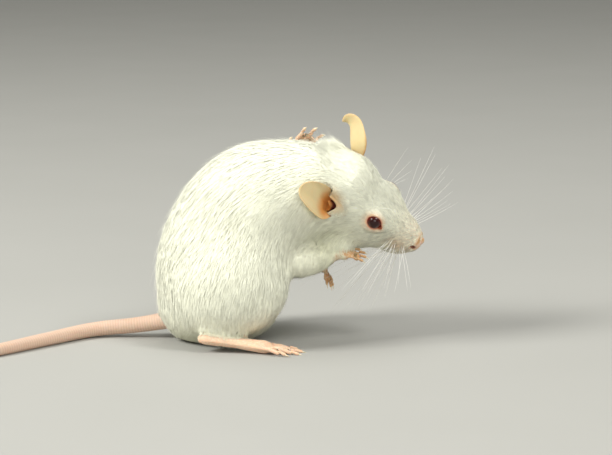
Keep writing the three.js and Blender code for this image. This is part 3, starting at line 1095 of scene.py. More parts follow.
    def refine(self, mesh: bpy.types.Mesh) -> None:
        """Makes the skin finer round the eyes, the nose and the mouth."""
        fine = bmesh.new()
        fine.from_mesh(mesh)
        spots = [(eye.centre, 2.7, 2) for eye in self.eyes]
        spots.append((HEAD.place(self.nose_tip), 4.4, 1))
        spots.append((HEAD.place(self.nose_tip), 2.2, 1))
        spots += [(ear.foot + 0.5 * ear.open, 3.2, 1) for ear in self.ears]
        for centre, reach, times in spots:
            for _ in range(times):
                middle, limit = Vector(centre) * MM, (reach * MM) ** 2
                inside = [
                    edge
                    for edge in fine.edges
                    if max((vert.co - middle).length_squared for vert in edge.verts) < limit
                ]
                bmesh.ops.subdivide_edges(fine, edges=inside, cuts=1, use_grid_fill=True)
        fine.to_mesh(mesh)
        fine.free()

    def sculpt(self, mesh: bpy.types.Mesh) -> None:
        """Carves lids, nostrils, the cleft lip, the mouth and the furrow behind the whiskers."""
        points = points_of(mesh)
        local = HEAD.local(points)
        local[:, 1] *= 1.0 - self.narrowing * ramp(local[:, 0], *self.narrowed)
        points = np.array(HEAD.origin) + local @ HEAD.axes()
        points = spread(points, edges_of(mesh), 3, 0.4 * self.near_face(points))
        for eye in self.eyes:
            points = eye.sculpt(points)
        move_points(mesh, points)
        ahead, left, up = HEAD.local(points).T
        side = np.abs(left)
        nostril, _ = self.nostril(points)
        cleft = hill(side, 0.0, self.cleft_width) * ramp(ahead, *self.cleft_ahead)
        cleft = cleft * ramp(-up, *self.cleft_below)
        brim_line = self.brim_middle + self.brim_slope * side
        brim = hill(ahead, brim_line, self.brim_width) * ramp(ahead, *self.brim_ahead)
        furrow = self.furrow(points, width=0.6, height=(-4.4, 1.6))
        dent = self.nostril_depth * nostril + self.cleft_depth * cleft + self.brim_depth * brim
        dent += self.furrow_depth * furrow + self.mouth_depth * self.mouth(points)
        dent -= self.pad_swell * self.pad(points)
        points -= normals_of(mesh) * dent[:, None]
        for ear in self.ears:
            lowered = self.slit_depth * ear.cut(points) - self.lip_height * ear.lip(points)
            points -= lowered[:, None] * ear.axis
        points = spread(points, edges_of(mesh), 1, 0.3 * self.near_face(points))
        move_points(mesh, points)

    def nostril(self, points: Array) -> tuple:
        """How near points lie to a nostril, and to the middle of the bare nose, each from 0 to 1."""
        hole = NOSTRIL_HOLE.share(points) + self.nostril_tail * NOSTRIL_TAIL.share(points)
        return np.minimum(hole, 1.0), 1.0 - ramp(BARE_NOSE.away(points), 0.7, 1.1)

    def pad(self, points: Array) -> Array:
        """1 on the middle of the whisker pads."""
        ahead, left, up = HEAD.local(points).T
        return hill(ahead, *self.pad_ahead) * hill(up, *self.pad_up) * ramp(np.abs(left), *self.pad_side)

    def furrow(self, points: Array, width: float, height: tuple) -> Array:
        """How near points lie to the furrow behind the whiskers.

        Args:
            points: places in millimetres.
            width: how wide the furrow is.
            height: its middle's height in the head's axes, and its reach up and down.

        Returns:
            A share from 0 to 1 for each point.
        """
        ahead, left, up = HEAD.local(points).T
        line = self.furrow_middle + self.furrow_slope * (up - self.furrow_level)
        return hill(ahead, line, width) * hill(up, *height) * ramp(np.abs(left), *self.furrow_side)

    def whisker_beds(self, points: Array) -> Array:
        """1 on the rows of dark spots that the whiskers grow from."""
        ahead, _, up = HEAD.local(points).T
        return hill(np.sin(4.4 * ahead + 1.2 * up), 1.0, 0.5) * hill(np.sin(4.8 * up), 1.0, 0.6)

    def mouth(self, points: Array) -> Array:
        """How near points lie to the line of the mouth, from 0 to 1."""
        ahead, left, up = HEAD.local(points).T
        side = np.abs(left)
        line = self.mouth_level + self.mouth_rise * ramp(side, *self.mouth_bend)
        share = hill(up, line, self.mouth_width) * ramp(ahead, *self.mouth_back)
        return share * (1.0 - ramp(ahead, *self.mouth_front)) * (1.0 - ramp(side, *self.mouth_side))

    def under(self, points: Array) -> Array:
        """1 where shade is painted on the throat, the forearms and the underside, 0 elsewhere."""
        far = np.linalg.norm(points - np.array(self.bridges[0][0]), axis=1)
        throat = hill(far, 0.0, self.throat_shade_reach)
        return np.maximum(throat, 1.0 - ramp(points[:, 2], *self.underside))

    def near_face(self, points: Array) -> Array:
        """1 on the front of the head, 0 elsewhere."""
        return ramp(HEAD.local(points)[:, 0], *self.face)

    def tint(self, points: Array, bare: Array) -> Array:
        """The skin's colours, painted shade among them, which the coat takes up too.

        Args:
            points: places in millimetres.
            bare: 1 where the skin is bare, 0 where hair covers it.

        Returns:
            A row of colour for each point.
        """
        ahead, _, up = HEAD.local(points).T
        colours = np.tile(Colour.SHADE.light, (len(points), 1))
        # painted shade on the throat, the forearms and the underside
        colours = blended(colours, Colour.UNDER_SHADE.light, self.under(points))
        muzzle = ramp(ahead, *self.muzzle) * (0.55 + 0.25 * hill(up, -5.5, 1.4))
        colours = blended(colours, Colour.MUZZLE.light, muzzle)
        for eye in self.eyes:
            colours = eye.tint(points, colours)
        for ear in self.ears:
            colours = ear.tint(points, colours)
        colours = blended(colours, Colour.TOE.light, bare)
        # painted shade: the bare forepaws turn a darker tan
        height = points[:, 2]
        fore = ramp(height, *self.paw_shade_from) * (1.0 - ramp(height, *self.paw_shade_to))
        colours = blended(colours, Colour.PAW_SHADE.light, bare * fore)
        nostril, bare_nose = self.nostril(points)
        colours = blended(colours, Colour.NOSE.light, 0.9 * bare_nose)
        beds = 0.6 * self.whisker_beds(points) * self.pad(points)
        colours = blended(colours, Colour.CORNER.light, beds)
        # painted shade in the furrow behind the whiskers
        furrow_shade = self.furrow(points, width=0.5, height=(-4.2, 1.5))
        colours = blended(colours, Colour.CORNER.light, 0.5 * furrow_shade)
        # painted shade in the nostrils and along the mouth
        colours = blended(colours, Colour.NOSTRIL_AND_MOUTH_SHADE.light, np.clip(1.7 * nostril, 0.0, 1.0))
        return blended(colours, Colour.NOSTRIL_AND_MOUTH_SHADE.light, 0.75 * self.mouth(points))

    def unwrap(self, mesh: bpy.types.Mesh) -> None:
        """Unfolds the skin by its own shape into the shared map."""
        form = bpy.data.objects.new("unfolded", mesh)
        bpy.context.scene.collection.objects.link(form)
        bpy.context.view_layer.objects.active = form
        form.select_set(True)
        mesh.uv_layers.new(name=MAP)
        bpy.ops.object.mode_set(mode="EDIT")
        bpy.ops.mesh.select_all(action="SELECT")
        bpy.ops.uv.smart_project(angle_limit=math.radians(70.0), island_margin=0.002)
        bpy.ops.object.mode_set(mode="OBJECT")
        bpy.data.objects.remove(form)

    def build(self, finishes: dict) -> tuple:
        """Makes the skin.

        Args:
            finishes: the skin's, the ears' and the tail's materials.

        Returns:
            The furred body's mesh, with each corner's node and its share of bareness.
        """
        flesh, tree, owners = self.gather()
        body = self.cast(flesh)
        self.settle(body, tree, owners)
        body = self.thin(body, tree, owners)
        self.refine(body)
        self.sculpt(body)
        self.unwrap(body)
        points = points_of(body)
        names = np.array([part.node for part in Part])[owners[nearest(tree, points)[1]]]
        bare = spread(np.isin(names, BARE).astype(float), edges_of(body), 3, 0.5)
        paint_points(body, self.tint(points, bare))
        whole = self.gathered([body, *(ear.build() for ear in self.ears), self.tail.build()])
        nodes = [part.node for part in Part if not part.node.endswith("_eye")]
        nodes += ["right_ear", "left_ear", "tail_2", "tail_3", "tail_4"]
        put("skin", whole, [finishes["skin"], finishes["ear"], finishes["tail"]], nodes)
        return body, names, bare

    def gathered(self, parts: list) -> bpy.types.Mesh:
        """Joins body, ears and tail, each with the number of its finish."""
        whole = bmesh.new()
        for number, part in enumerate(parts):
            start = len(whole.faces)
            whole.from_mesh(part)
            whole.faces.ensure_lookup_table()
            finish = 0 if number == 0 else 2 if number == len(parts) - 1 else 1
            for face in whole.faces[start:]:
                face.material_index = finish
        mesh = bpy.data.meshes.new("skin")
        whole.to_mesh(mesh)
        whole.free()
        return mesh


# ------------------------------------------------------------------ the lie of the coat
@dataclass(frozen=True)
class Station:
    """A place on the body: which way its hair lies, how long it is and how far it stands off."""

    place: tuple
    lies: tuple
    length: float
    lift: float = 0.085


BODY_STATIONS = (
    Station((22, 0, 41), (-1, 0, 0.02), 3.8),
    Station((12, 0, 41), (-1, 0, -0.15), 4.2, 0.08),
    Station((1, 0, 34), (-0.6, 0, -0.8), 4.3, 0.08),
    Station((-5.5, 0, 22), (-0.2, 0, -1), 4.3, 0.08),
    Station((-6.5, 0, 9), (-0.1, 0, -1), 4.0, 0.08),
    Station((6, 0, 0), (-1, 0, 0), 2.0, 0.04),
    Station((26, 0, 20), (-0.3, 0, -0.95), 3.2),
    Station((20, 0, 10), (-0.6, 0, -0.8), 3.2),
)
FLANK_STATIONS = (
    Station((20, 8, 35), (-0.9, 0.15, -0.45), 4.0),
    Station((10, 9, 32), (-0.75, 0.1, -0.65), 4.2),
    Station((4, 10, 24), (-0.45, 0, -0.9), 4.2),
    Station((22, 10, 26), (-0.55, 0, -0.85), 3.6),
    Station((15, 11, 21), (-0.42, 0, -0.92), 4.0),
    Station((9, 14, 18), (-0.3, 0, -0.95), 3.8),
    Station((8, 13, 6), (-0.15, 0, -1), 3.4),
    Station((19, 10, 12), (-0.1, 0, -1), 3.0),
    Station((30, 6, 20), (-0.7, 0, -0.7), 2.8),
)
HEAD_STATIONS = (
    Station((18, 0, -3), (-1, 0, 0.1), 0.8, 0.16),
    Station((11, 0, 1.2), (-1, 0, 0.1), 1.5, 0.13),
    Station((3, 0, 6), (-1, 0, 0), 2.5),
    Station((-4, 0, 6), (-1, 0, -0.2), 3.4),
    Station((14.5, 0, -8), (-0.9, 0, -0.4), 0.9, 0.2),
)
CHEEK_STATIONS = (
    Station((16, 2.4, -4), (-0.9, 0.4, -0.2), 0.8, 0.22),
    Station((15, 2.6, -6), (-0.7, 0.3, -0.7), 0.9, 0.24),
    Station((9, 4.6, -4), (-0.95, 0.2, -0.3), 1.3, 0.14),
    Station((4, 6.6, -6), (-0.9, 0.1, -0.4), 2.2, 0.13),
    Station((8, 4, 0.5), (-0.9, 0.4, 0.3), 1.3, 0.1),
    Station((4, 6.5, 0), (-0.95, 0.2, 0.1), 1.7, 0.1),
    Station((9, 2, -9), (-0.9, 0.1, -0.3), 1.7, 0.13),
    Station((2, 3, -10), (-0.95, 0, -0.3), 2.6, 0.13),
)

# How the hair lies on the limbs, and its length in millimetres.
LIMB_LIES = {
    "left_thigh": ((0.9, 0.35, 0.05), 2.6),
    "left_shank": ((-0.5, 0.07, 0.86), 1.6),
    "right_forearm": ((-0.25, -0.1, -0.95), 2.4),
    "left_forearm": ((-0.2, 0.1, -0.95), 2.2),
    "right_hind_foot": ((0.99, -0.1, -0.1), 0.7),
    "left_hind_foot": ((0.63, -0.44, 0.65), 0.7),
    "right_forepaw": ((0.97, 0.1, -0.1), 0.5),
    "left_forepaw": ((0.6, -0.2, -0.8), 0.5),
}


@dataclass(frozen=True)
class Ruffle:
    """A ruffled place in the coat: its hair's way, length and lift, and how far locks draw together."""

    place: tuple
    way: tuple
    reach: float
    length: float
    lift: float
    drawn: float = 0.0


RUFFLES = (
    Ruffle((30.6, -0.1, 38.4), (-0.8, 0.05, 0.4), 1.8, 2.6, 0.75, 0.6),
    Ruffle((28.6, -1.6, 38.1), (-0.9, 0.05, 0.3), 1.8, 2.6, 0.6, 0.6),
    Ruffle((31.5, -4.0, 20.8), (-0.4, -0.2, -0.9), 2.2, 2.6, 0.07),
    Ruffle((28.0, -4.5, 20.8), (-0.45, -0.2, -0.85), 2.4, 3.0, 0.07),
)


class Lie:
    """Blends the stations over the whole body."""

    def __init__(self) -> None:
        """Lays out the stations, those of the flanks and cheeks on both sides."""
        rows = []
        for station in BODY_STATIONS:
            rows.append((np.array(station.place), np.array(station.lies), station))
        for station in FLANK_STATIONS:
            for side in (1, -1):
                flip = np.array([1, side, 1])
                rows.append((station.place * flip, station.lies * flip, station))
        for station in HEAD_STATIONS:
            rows.append((HEAD.place(station.place), HEAD.turned(station.lies), station))
        for station in CHEEK_STATIONS:
            for side in (1, -1):
                flip = np.array([1, side, 1])
                place = HEAD.place(station.place * flip)
                rows.append((place, HEAD.turned(station.lies * flip), station))
        self.places = np.array([row[0] for row in rows], float)
        self.lies = unit(np.array([row[1] for row in rows], float))
        self.lengths = np.array([row[2].length for row in rows])
        self.lifts = np.array([row[2].lift for row in rows])

    def at(self, points: Array) -> tuple:
        """Direction, length and lift of the hair at points."""
        gap = ((points[:, None, :] - self.places[None]) ** 2).sum(axis=2)
        weight = 1.0 / (gap + 3.0) ** 2.2
        weight /= weight.sum(axis=1, keepdims=True)
        return weight @ self.lies, weight @ self.lengths, weight @ self.lifts


# ------------------------------------------------------------------ coat
@dataclass
class Coat:
    """The coat: thin tufts that overlap along the body, and longer guard hairs among them."""

    body: bpy.types.Mesh
    names: Array
    bare: Array
    skin: Skin
    tufts: int = 140000
    guards: int = 8000
    pieces: int = 9
    clumps: int = 10000
    gather: float = 0.14
    roundness: float = 0.32
    root_depth: float = 0.12
    patch: float = 0.003
    stray: float = 0.10
    length_spread: float = 0.18
    lift_spread: float = 0.32
    width_spread: float = 0.22
    turn_limit: float = 0.9
    width_base: float = 0.075
    width_growth: float = 0.035
    even_rounds: int = 10
    ruffle_growth: float = 1.2
    bared: float = 0.96
    muzzle_ruffle: float = 0.35
    muzzle_thinning: float = 0.55
    lid_length: float = 0.4
    tan_thinning: float = 0.4
    tan_shortening: float = 0.65
    ear_probes: tuple = (0.4, 0.8, 1.2)
    ear_shortening: float = 0.7
    lock_reach: float = 0.35
    mottle: float = 0.012
    crown_mottle: float = 0.05
    muzzle_mottle: float = 0.07
    tuft_mottle: float = 0.035
    face_mottle: float = 0.05
    guard_length: float = 1.35
    guard_lift: float = 1.9
    guard_rise: float = 0.12
    guard_width: float = 0.45

    def __post_init__(self) -> None:
        """Reads the skin and opens a stream of chance."""
        self.chance = np.random.default_rng(SEED)
        self.lie = Lie()
        self.points = points_of(self.body)
        self.normals = normals_of(self.body)
        self.body.calc_loop_triangles()
        count = len(self.body.loop_triangles)
        corners = np.empty(count * 3, np.int32)
        self.body.loop_triangles.foreach_get("vertices", corners)
        self.corners = corners.reshape(-1, 3)
        loops = np.empty(count * 3, np.int32)
        self.body.loop_triangles.foreach_get("loops", loops)
        flat = np.empty(len(self.body.loops) * 2, np.float32)
        self.body.uv_layers[MAP].data.foreach_get("uv", flat)
        self.uv = flat.reshape(-1, 2)[loops.reshape(-1, 3)]
        self.tree = BVHTree.FromPolygons(self.points.tolist(), self.corners.tolist())
        self.face_normals = self.normals[self.corners].mean(axis=1)

    def growth(self) -> tuple:
        """How the hair grows at each corner of the skin.

        Returns:
            Direction, length, lift and how thickly it grows.
        """
        lies, length, lift = self.lie.at(self.points)
        thick = np.ones(len(self.points))
        self.ruffled = np.zeros(len(self.points))
        for ruffle in RUFFLES:
            far = np.linalg.norm(self.points - np.array(ruffle.place), axis=1)
            share = hill(far, 0.0, ruffle.reach)
            self.ruffled = np.maximum(self.ruffled, ruffle.drawn * share)
            thick += self.ruffle_growth * ruffle.drawn * share
            lies += share[:, None] * (unit(np.array(ruffle.way)) - lies)
            length += share * (ruffle.length - length)
            lift += share * (ruffle.lift - lift)
        for node, (way, size) in LIMB_LIES.items():
            here = self.names == node
            lies[here] = way
            length[here] = size
        edges = edges_of(self.body)
        lies = spread(lies, edges, self.even_rounds, 0.5)
        length = spread(length, edges, self.even_rounds, 0.5)
        thick -= self.bared * self.bare
        thick *= np.isin(self.names, ("tail_1",), invert=True)
        forward = HEAD.local(self.points)[:, 0]
        self.ruffled = np.maximum(self.ruffled, self.muzzle_ruffle * ramp(forward, 8.0, 14.0))
        thick *= 1.0 - self.muzzle_thinning * ramp(forward, 14.0, 18.0)
        nostril, bare_nose = self.skin.nostril(self.points)
        thick *= 1.0 - np.clip(np.maximum(2.0 * nostril, 1.3 * bare_nose), 0.0, 1.0)
        thick *= 1.0 - self.skin.mouth(self.points)
        for eye in self.skin.eyes:
            ahead, rise, out = eye.local(self.points)
            outside = eye.opening(ahead, rise)[0]
            near = (out > -1.0) & (np.hypot(ahead, rise) < 4.0)
            thick *= np.where(near, ramp(outside, 0.14, 0.5), 1.0)
            kept = self.lid_length + (1.0 - self.lid_length) * ramp(outside, 0.3, 2.4)
            length *= np.where(near, kept, 1.0)
            away = unit(ahead[:, None] * eye.ahead + rise[:, None] * eye.rise)
            inward = np.minimum((lies * away).sum(axis=1), 0.0) - 0.25
            lies -= (near * (1.0 - ramp(outside, 0.8, 2.0)) * inward)[:, None] * away
        for ear in self.skin.ears:
            tan = ear.tan(self.points)
            thick *= (1.0 - ear.bare(self.points)) * (1.0 - self.tan_thinning * tan)
            length *= 1.0 - self.tan_shortening * tan
        thick *= ramp(self.points[:, 2], 0.05, 0.8)
        return lies, length, lift, thick

    def sow(self) -> dict:
        """Picks the roots of the tufts.

        Returns:
            Arrays of each root's place, direction, length, lift, width, colour and map place.
        """
        lies, length, lift, thick = self.growth()
        a, b, c = (self.points[self.corners[:, k]] for k in range(3))
        area = np.linalg.norm(np.cross(b - a, c - a), axis=1) / 2.0
        width = self.width_base + self.width_growth * length
        face = self.corners
        need = area * (thick / (length * width))[face].mean(axis=1)
        log.info("furred skin %.0f mm2", float(area.sum()))
        chosen = self.chance.choice(len(face), size=self.tufts, p=need / need.sum())
        chosen.sort()
        share = self.chance.random((self.tufts, 2))
        over = share.sum(axis=1) > 1.0
        share[over] = 1.0 - share[over]
        weights = np.column_stack([1.0 - share.sum(axis=1), share])

        def read(rows: Array) -> Array:
            """Values at the roots."""
            return np.einsum("ij,ij...->i...", weights, rows[face[chosen]])

        random = self.chance.normal(size=(self.tufts, 4))
        aside = unit(np.cross(read(self.normals), read(lies)))
        made = {
            "root": read(self.points),
            "lies": read(lies) + self.stray * random[:, :1] * aside,
            "length": read(length) * np.clip(1.0 + self.length_spread * random[:, 1], 0.6, 1.5),
            "lift": read(lift) * np.clip(1.0 + self.lift_spread * random[:, 2], 0.2, 2.4),
            "width": read(width) * np.clip(1.0 + self.width_spread * random[:, 3], 0.5, 1.6),
            "uv": np.einsum("ij,ijk->ik", weights, self.uv[chosen]),
            "tint": self.hair_tint(read(self.points), read(self.bare)),
            "gather": self.gather + read(self.ruffled),
        }
        for ear in self.skin.ears:
            for share in self.ear_probes:
                tips = made["root"] + unit(made["lies"]) * (share * made["length"])[:, None]
                made["length"] *= 1.0 - self.ear_shortening * ear.bare(tips)
        made["pull"] = self.locks(made)
        return made

    def locks(self, made: dict) -> Array:
        """How far each tuft's tip is drawn sideways towards the middle of its lock."""
        seeds = self.chance.choice(self.tufts, size=self.clumps, replace=False)
        tree = KDTree(self.clumps)
        for number, root in enumerate(made["root"][seeds].tolist()):
            tree.insert(root, number)
        tree.balance()
        found = np.array([tree.find(root)[1] for root in made["root"].tolist()])
        ahead = HEAD.local(made["root"])[:, 0]
        mottle = self.mottle + self.crown_mottle * ramp(ahead, -4.0, 6.0)
        mottle = mottle + self.muzzle_mottle * ramp(ahead, 10.0, 15.0)
        made["tint"] *= 1.0 + (mottle * self.chance.normal(size=self.clumps)[found])[:, None]
        pull = made["root"][seeds[found]] - made["root"]
        way = unit(made["lies"])
        pull -= (pull * way).sum(axis=1, keepdims=True) * way
        reach = np.linalg.norm(pull, axis=1, keepdims=True)
        limit = self.lock_reach * made["length"][:, None]
        drawn = np.minimum(1.0, limit / np.maximum(reach, 1e-6))
        return made["gather"][:, None] * pull * drawn

    def hair_tint(self, roots: Array, bare: Array) -> Array:
        """The colour of each tuft: white, touched by the skin where the hair is sparse, and by the
        painted shade of the throat, the forearms and the underside.
        """
        white = np.tile(Colour.HAIR.light, (len(roots), 1))
        skin = self.skin.tint(roots, bare)
        head = ramp(HEAD.local(roots)[:, 0], 8.0, 17.0)
        # the tufts take up the painted shade of the throat, the forearms and the underside
        share = 0.05 + 0.3 * head + 0.6 * self.skin.pad(roots) + 0.65 * self.skin.under(roots)
        for eye in self.skin.eyes:
            ahead, rise, out = eye.local(roots)
            share += 0.4 * (out > -1.0) * (1.0 - ramp(eye.opening(ahead, rise)[0], 0.3, 1.5))
        for ear in self.skin.ears:
            share += 0.9 * ear.tan(roots)
        colours = blended(white, skin, np.clip(share, 0.0, 0.9))
        mottle = (self.tuft_mottle + self.face_mottle * head)[:, None]
        return colours * (1.0 + mottle * self.chance.normal(size=(len(roots), 1)))

    def follow(self, made: dict, steps: int) -> tuple:
        """Lays each tuft along the skin.

        Args:
            made: the roots.
            steps: how many stretches a tuft has.

        Returns:
            The middle points of each tuft at its steps, and the skin's normals there.
        """
        at = made["root"].copy()
        stride = (made["length"] / steps)[:, None]
        lies = made["lies"]
        _, start = self.drop(at)
        offset = lies - self.lie.at(at)[0]
        offset *= np.linalg.norm(offset, axis=1, keepdims=True) < self.turn_limit
        places, outs = [at], [start]
        for step in range(steps):
            out = outs[-1]
            way = lies if step == 0 else self.lie.at(at)[0] + offset
            own = np.linalg.norm(lies - way, axis=1, keepdims=True) > self.turn_limit
            way = np.where(own, lies, way)
            way = unit(way - (way * out).sum(axis=1, keepdims=True) * out)
            at, out = self.drop(at + way * stride + made["pull"] / steps)
            places.append(at)
            outs.append(out)
        return np.array(places), np.array(outs)

    def drop(self, points: Array) -> tuple:
        """The nearest places on the skin, and its normals there."""
        places, faces = nearest(self.tree, points, 1.0)
        return places, unit(self.face_normals[faces])

    def grow(self, made: dict, steps: int = 2) -> tuple:
        """Gives each tuft its body.

        Args:
            made: the roots.
            steps: how many stretches a tuft has.

        Returns:
            Points, normals, triangles, points in a tuft, shares along it and shares across it.
        """
        places, outs = self.follow(made, steps)
        shares = np.linspace(0.0, 1.0, steps + 1)
        count = len(made["root"])
        height = made["lift"] * made["length"]
        curve = (shares**1.15)[:, None] * height - self.root_depth * (1.0 - shares)[:, None] ** 2
        middle = places + outs * curve[..., None]
        tangents = unit(np.gradient(middle, axis=0))
        aside = unit(np.cross(tangents, outs))
        above = np.cross(aside, tangents)
        profile = np.array([0.8, 1.0, 0.0])
        half = profile[:, None] * made["width"] / 2.0
        rings, turned = [], []
        for step in range(steps):
            wide = half[step][:, None] * aside[step]
            ridge = 0.4 * half[step][:, None] * above[step]
            rings += [middle[step] - wide, middle[step] + ridge, middle[step] + wide]
            turn = self.roundness * aside[step]
            turned += [outs[step] - turn, outs[step], outs[step] + turn]
        rings.append(middle[steps])
        turned.append(outs[steps])
        normals = unit(np.stack(turned, axis=1).reshape(-1, 3))
        size = 3 * steps + 1
        points = np.stack(rings, axis=1).reshape(-1, 3)
        points[:, 2] = np.maximum(points[:, 2], FLOOR_GAP)
        pattern = [(0, 2, 1)]
        for step in range(steps - 1):
            for side in range(3):
                a, b = 3 * step + side, 3 * step + (side + 1) % 3
                pattern += [(a, b + 3, a + 3), (a, b, b + 3)]
        last = 3 * (steps - 1)
        pattern += [(last + side, last + (side + 1) % 3, size - 1) for side in range(3)]
        faces = (np.arange(count) * size)[:, None, None] + np.array(pattern)[None]
        along = np.append(np.repeat(shares[:-1], 3), 1.0)
        across = np.append(np.tile([-1.0, 0.0, 1.0], steps), 0.0)
        return points, normals, faces, size, np.tile(along, count), np.tile(across, count)

    def write(self, name: str, made: dict, finish: bpy.types.Material) -> bpy.types.Object:
        """Writes one piece of the coat."""
        points, normals, faces, size, along, across = self.grow(made)
        mesh = bpy.data.meshes.new(name)
        flat = faces.reshape(-1)
        mesh.vertices.add(len(points))
        mesh.loops.add(len(flat))
        mesh.polygons.add(len(flat) // 3)
        mesh.vertices.foreach_set("co", (points * MM).astype(np.float32).ravel())
        mesh.loops.foreach_set("vertex_index", flat.astype(np.int32))
        mesh.polygons.foreach_set("loop_start", np.arange(0, len(flat), 3, dtype=np.int32))
        mesh.update(calc_edges=True)
        uv = made["uv"]
        low, high = uv.min(axis=0), uv.max(axis=0)
        uv = 0.004 + 0.992 * (uv - low) / (high - low)
        uv = np.repeat(uv, size, axis=0)
        uv += self.patch * np.column_stack([0.4 * across, along - 0.5])
        layer = mesh.uv_layers.new(name=MAP)
        layer.data.foreach_set("uv", uv[flat].astype(np.float32).ravel())
        paint_points(mesh, np.repeat(made["tint"], size, axis=0))
        laid = mesh.attributes.new(LAID, "FLOAT", "POINT")
        laid.data.foreach_set("value", along.astype(np.float32))
        piece = put(name, mesh, [finish], [])
        facing = mesh.attributes.new("custom_normal", "FLOAT_VECTOR", "POINT")
        facing.data.foreach_set("vector", normals.astype(np.float32).ravel())
        return piece

    def build(self, finish: bpy.types.Material) -> None:
        """Makes the whole coat, in bands from the rump to the face."""
        made = self.sow()
        guards = self.chance.choice(self.tufts, size=self.guards, replace=False)
        hair = {key: value[guards].copy() for key, value in made.items()}
        hair["length"] *= self.guard_length
        hair["lift"] = np.minimum(self.guard_lift * hair["lift"], hair["lift"] + self.guard_rise)
        hair["width"] *= self.guard_width
        whole = {key: np.concatenate([made[key], hair[key]]) for key in made}
        order = np.argsort(whole["root"][:, 0] + 0.4 * whole["root"][:, 2])
        for number, band in enumerate(np.array_split(order, self.pieces)):
            part = {key: value[band] for key, value in whole.items()}
            self.write(f"coat_band_{number + 1}", part, finish)


# ------------------------------------------------------------------ whiskers
@dataclass(frozen=True)
class Fan:
    """A fan of whiskers: where its roots lie on the head, and how it spreads."""

    name: str
    roots: tuple
    first: tuple
    last: tuple
    count: int
    lengths: tuple
    droop: float
    radius: float


FANS = (
    Fan(
        "right_lower", ((16.6, -2.6, -6.4), (13.8, -3.2, -6.0)),
        (0.25, -0.62, -0.75), (-0.62, -0.55, -0.56), 16, (9.0, 17.0), 1.6, 0.075,
    ),
    Fan(
        "right_upper", ((16.8, -2.4, -4.8), (14.2, -3.2, -4.4)),
        (0.55, -0.8, -0.1), (-0.35, -0.9, -0.2), 9, (8.0, 14.0), 0.8, 0.07,
    ),
    Fan(
        "left_lower", ((16.6, 2.6, -6.4), (13.8, 3.2, -6.0)),
        (0.35, 0.7, -0.5), (-0.45, 0.8, -0.4), 12, (9.0, 15.0), 1.2, 0.07,
    ),
    Fan(
        "left_upper", ((16.8, 2.4, -4.8), (14.2, 3.2, -4.4)),
        (0.6, 0.75, 0.2), (-0.1, 0.95, 0.3), 12, (10.0, 16.0), -0.6, 0.075,
    ),
    Fan(
        "right_brow", ((8.8, -3.4, 0.6), (8.0, -3.7, 0.7)),
        (0.35, -0.35, 0.85), (-0.2, -0.4, 0.9), 3, (5.0, 7.0), 0.5, 0.045,
    ),
    Fan(
        "left_brow", ((8.8, 3.4, 0.6), (8.0, 3.7, 0.7)),
        (0.45, 0.35, 0.8), (0.0, 0.4, 0.9), 4, (5.0, 8.0), 0.4, 0.045,
    ),
    Fan(
        "chin", ((14.8, -0.7, -8.4), (13.4, 0.7, -8.8)),
        (0.3, -0.3, -0.9), (-0.3, 0.3, -0.9), 6, (2.5, 4.5), 0.4, 0.04,
    ),
)


@dataclass
class Whiskers:
    """The whiskers, thin and tapered, in fans on both sides of the muzzle."""

    tree: BVHTree
    steps: int = 12
    sides: int = 5
    thinned: float = 0.78

    def hair(self, fan: Fan, share: float, chance: np.random.Generator) -> bmesh.types.BMesh:
        """Makes one whisker of a fan."""
        first, last = (np.array(root) for root in fan.roots)
        wobble = chance.normal(size=9)
        local = first + (last - first) * share + 0.25 * wobble[:3]
        root = np.array(self.tree.find_nearest(HEAD.place(local))[0])
        mixed = unit(np.array(fan.first)) * (1 - share) + unit(np.array(fan.last)) * share
        way = unit(HEAD.turned(mixed + 0.06 * wobble[3:6]))
        length = fan.lengths[0] + (fan.lengths[1] - fan.lengths[0]) * share
        length *= 1.0 + 0.15 * np.tanh(wobble[6])
        t = np.linspace(-0.06, 1.0, self.steps)[:, None]
        sag = np.array([-0.25, 0.0, -1.0]) * fan.droop * (1 + 0.3 * wobble[7])
        line = root + way * t * length + sag * np.abs(t) ** 2.2
        radii = self.thinned * fan.radius * (1.0 - 0.82 * np.clip(t[:, 0], 0.0, 1.0) ** 0.9)
        return swept(line, radii, self.sides)

    def build(self, finish: bpy.types.Material) -> None:
        """Makes each fan as one piece."""
        for number, fan in enumerate(FANS):
            chance = np.random.default_rng(SEED + number)
            shares = np.linspace(0.0, 1.0, fan.count)
            mesh = joined([self.hair(fan, share, chance) for share in shares])
            put(f"whiskers_{fan.name}", mesh, [finish], [])


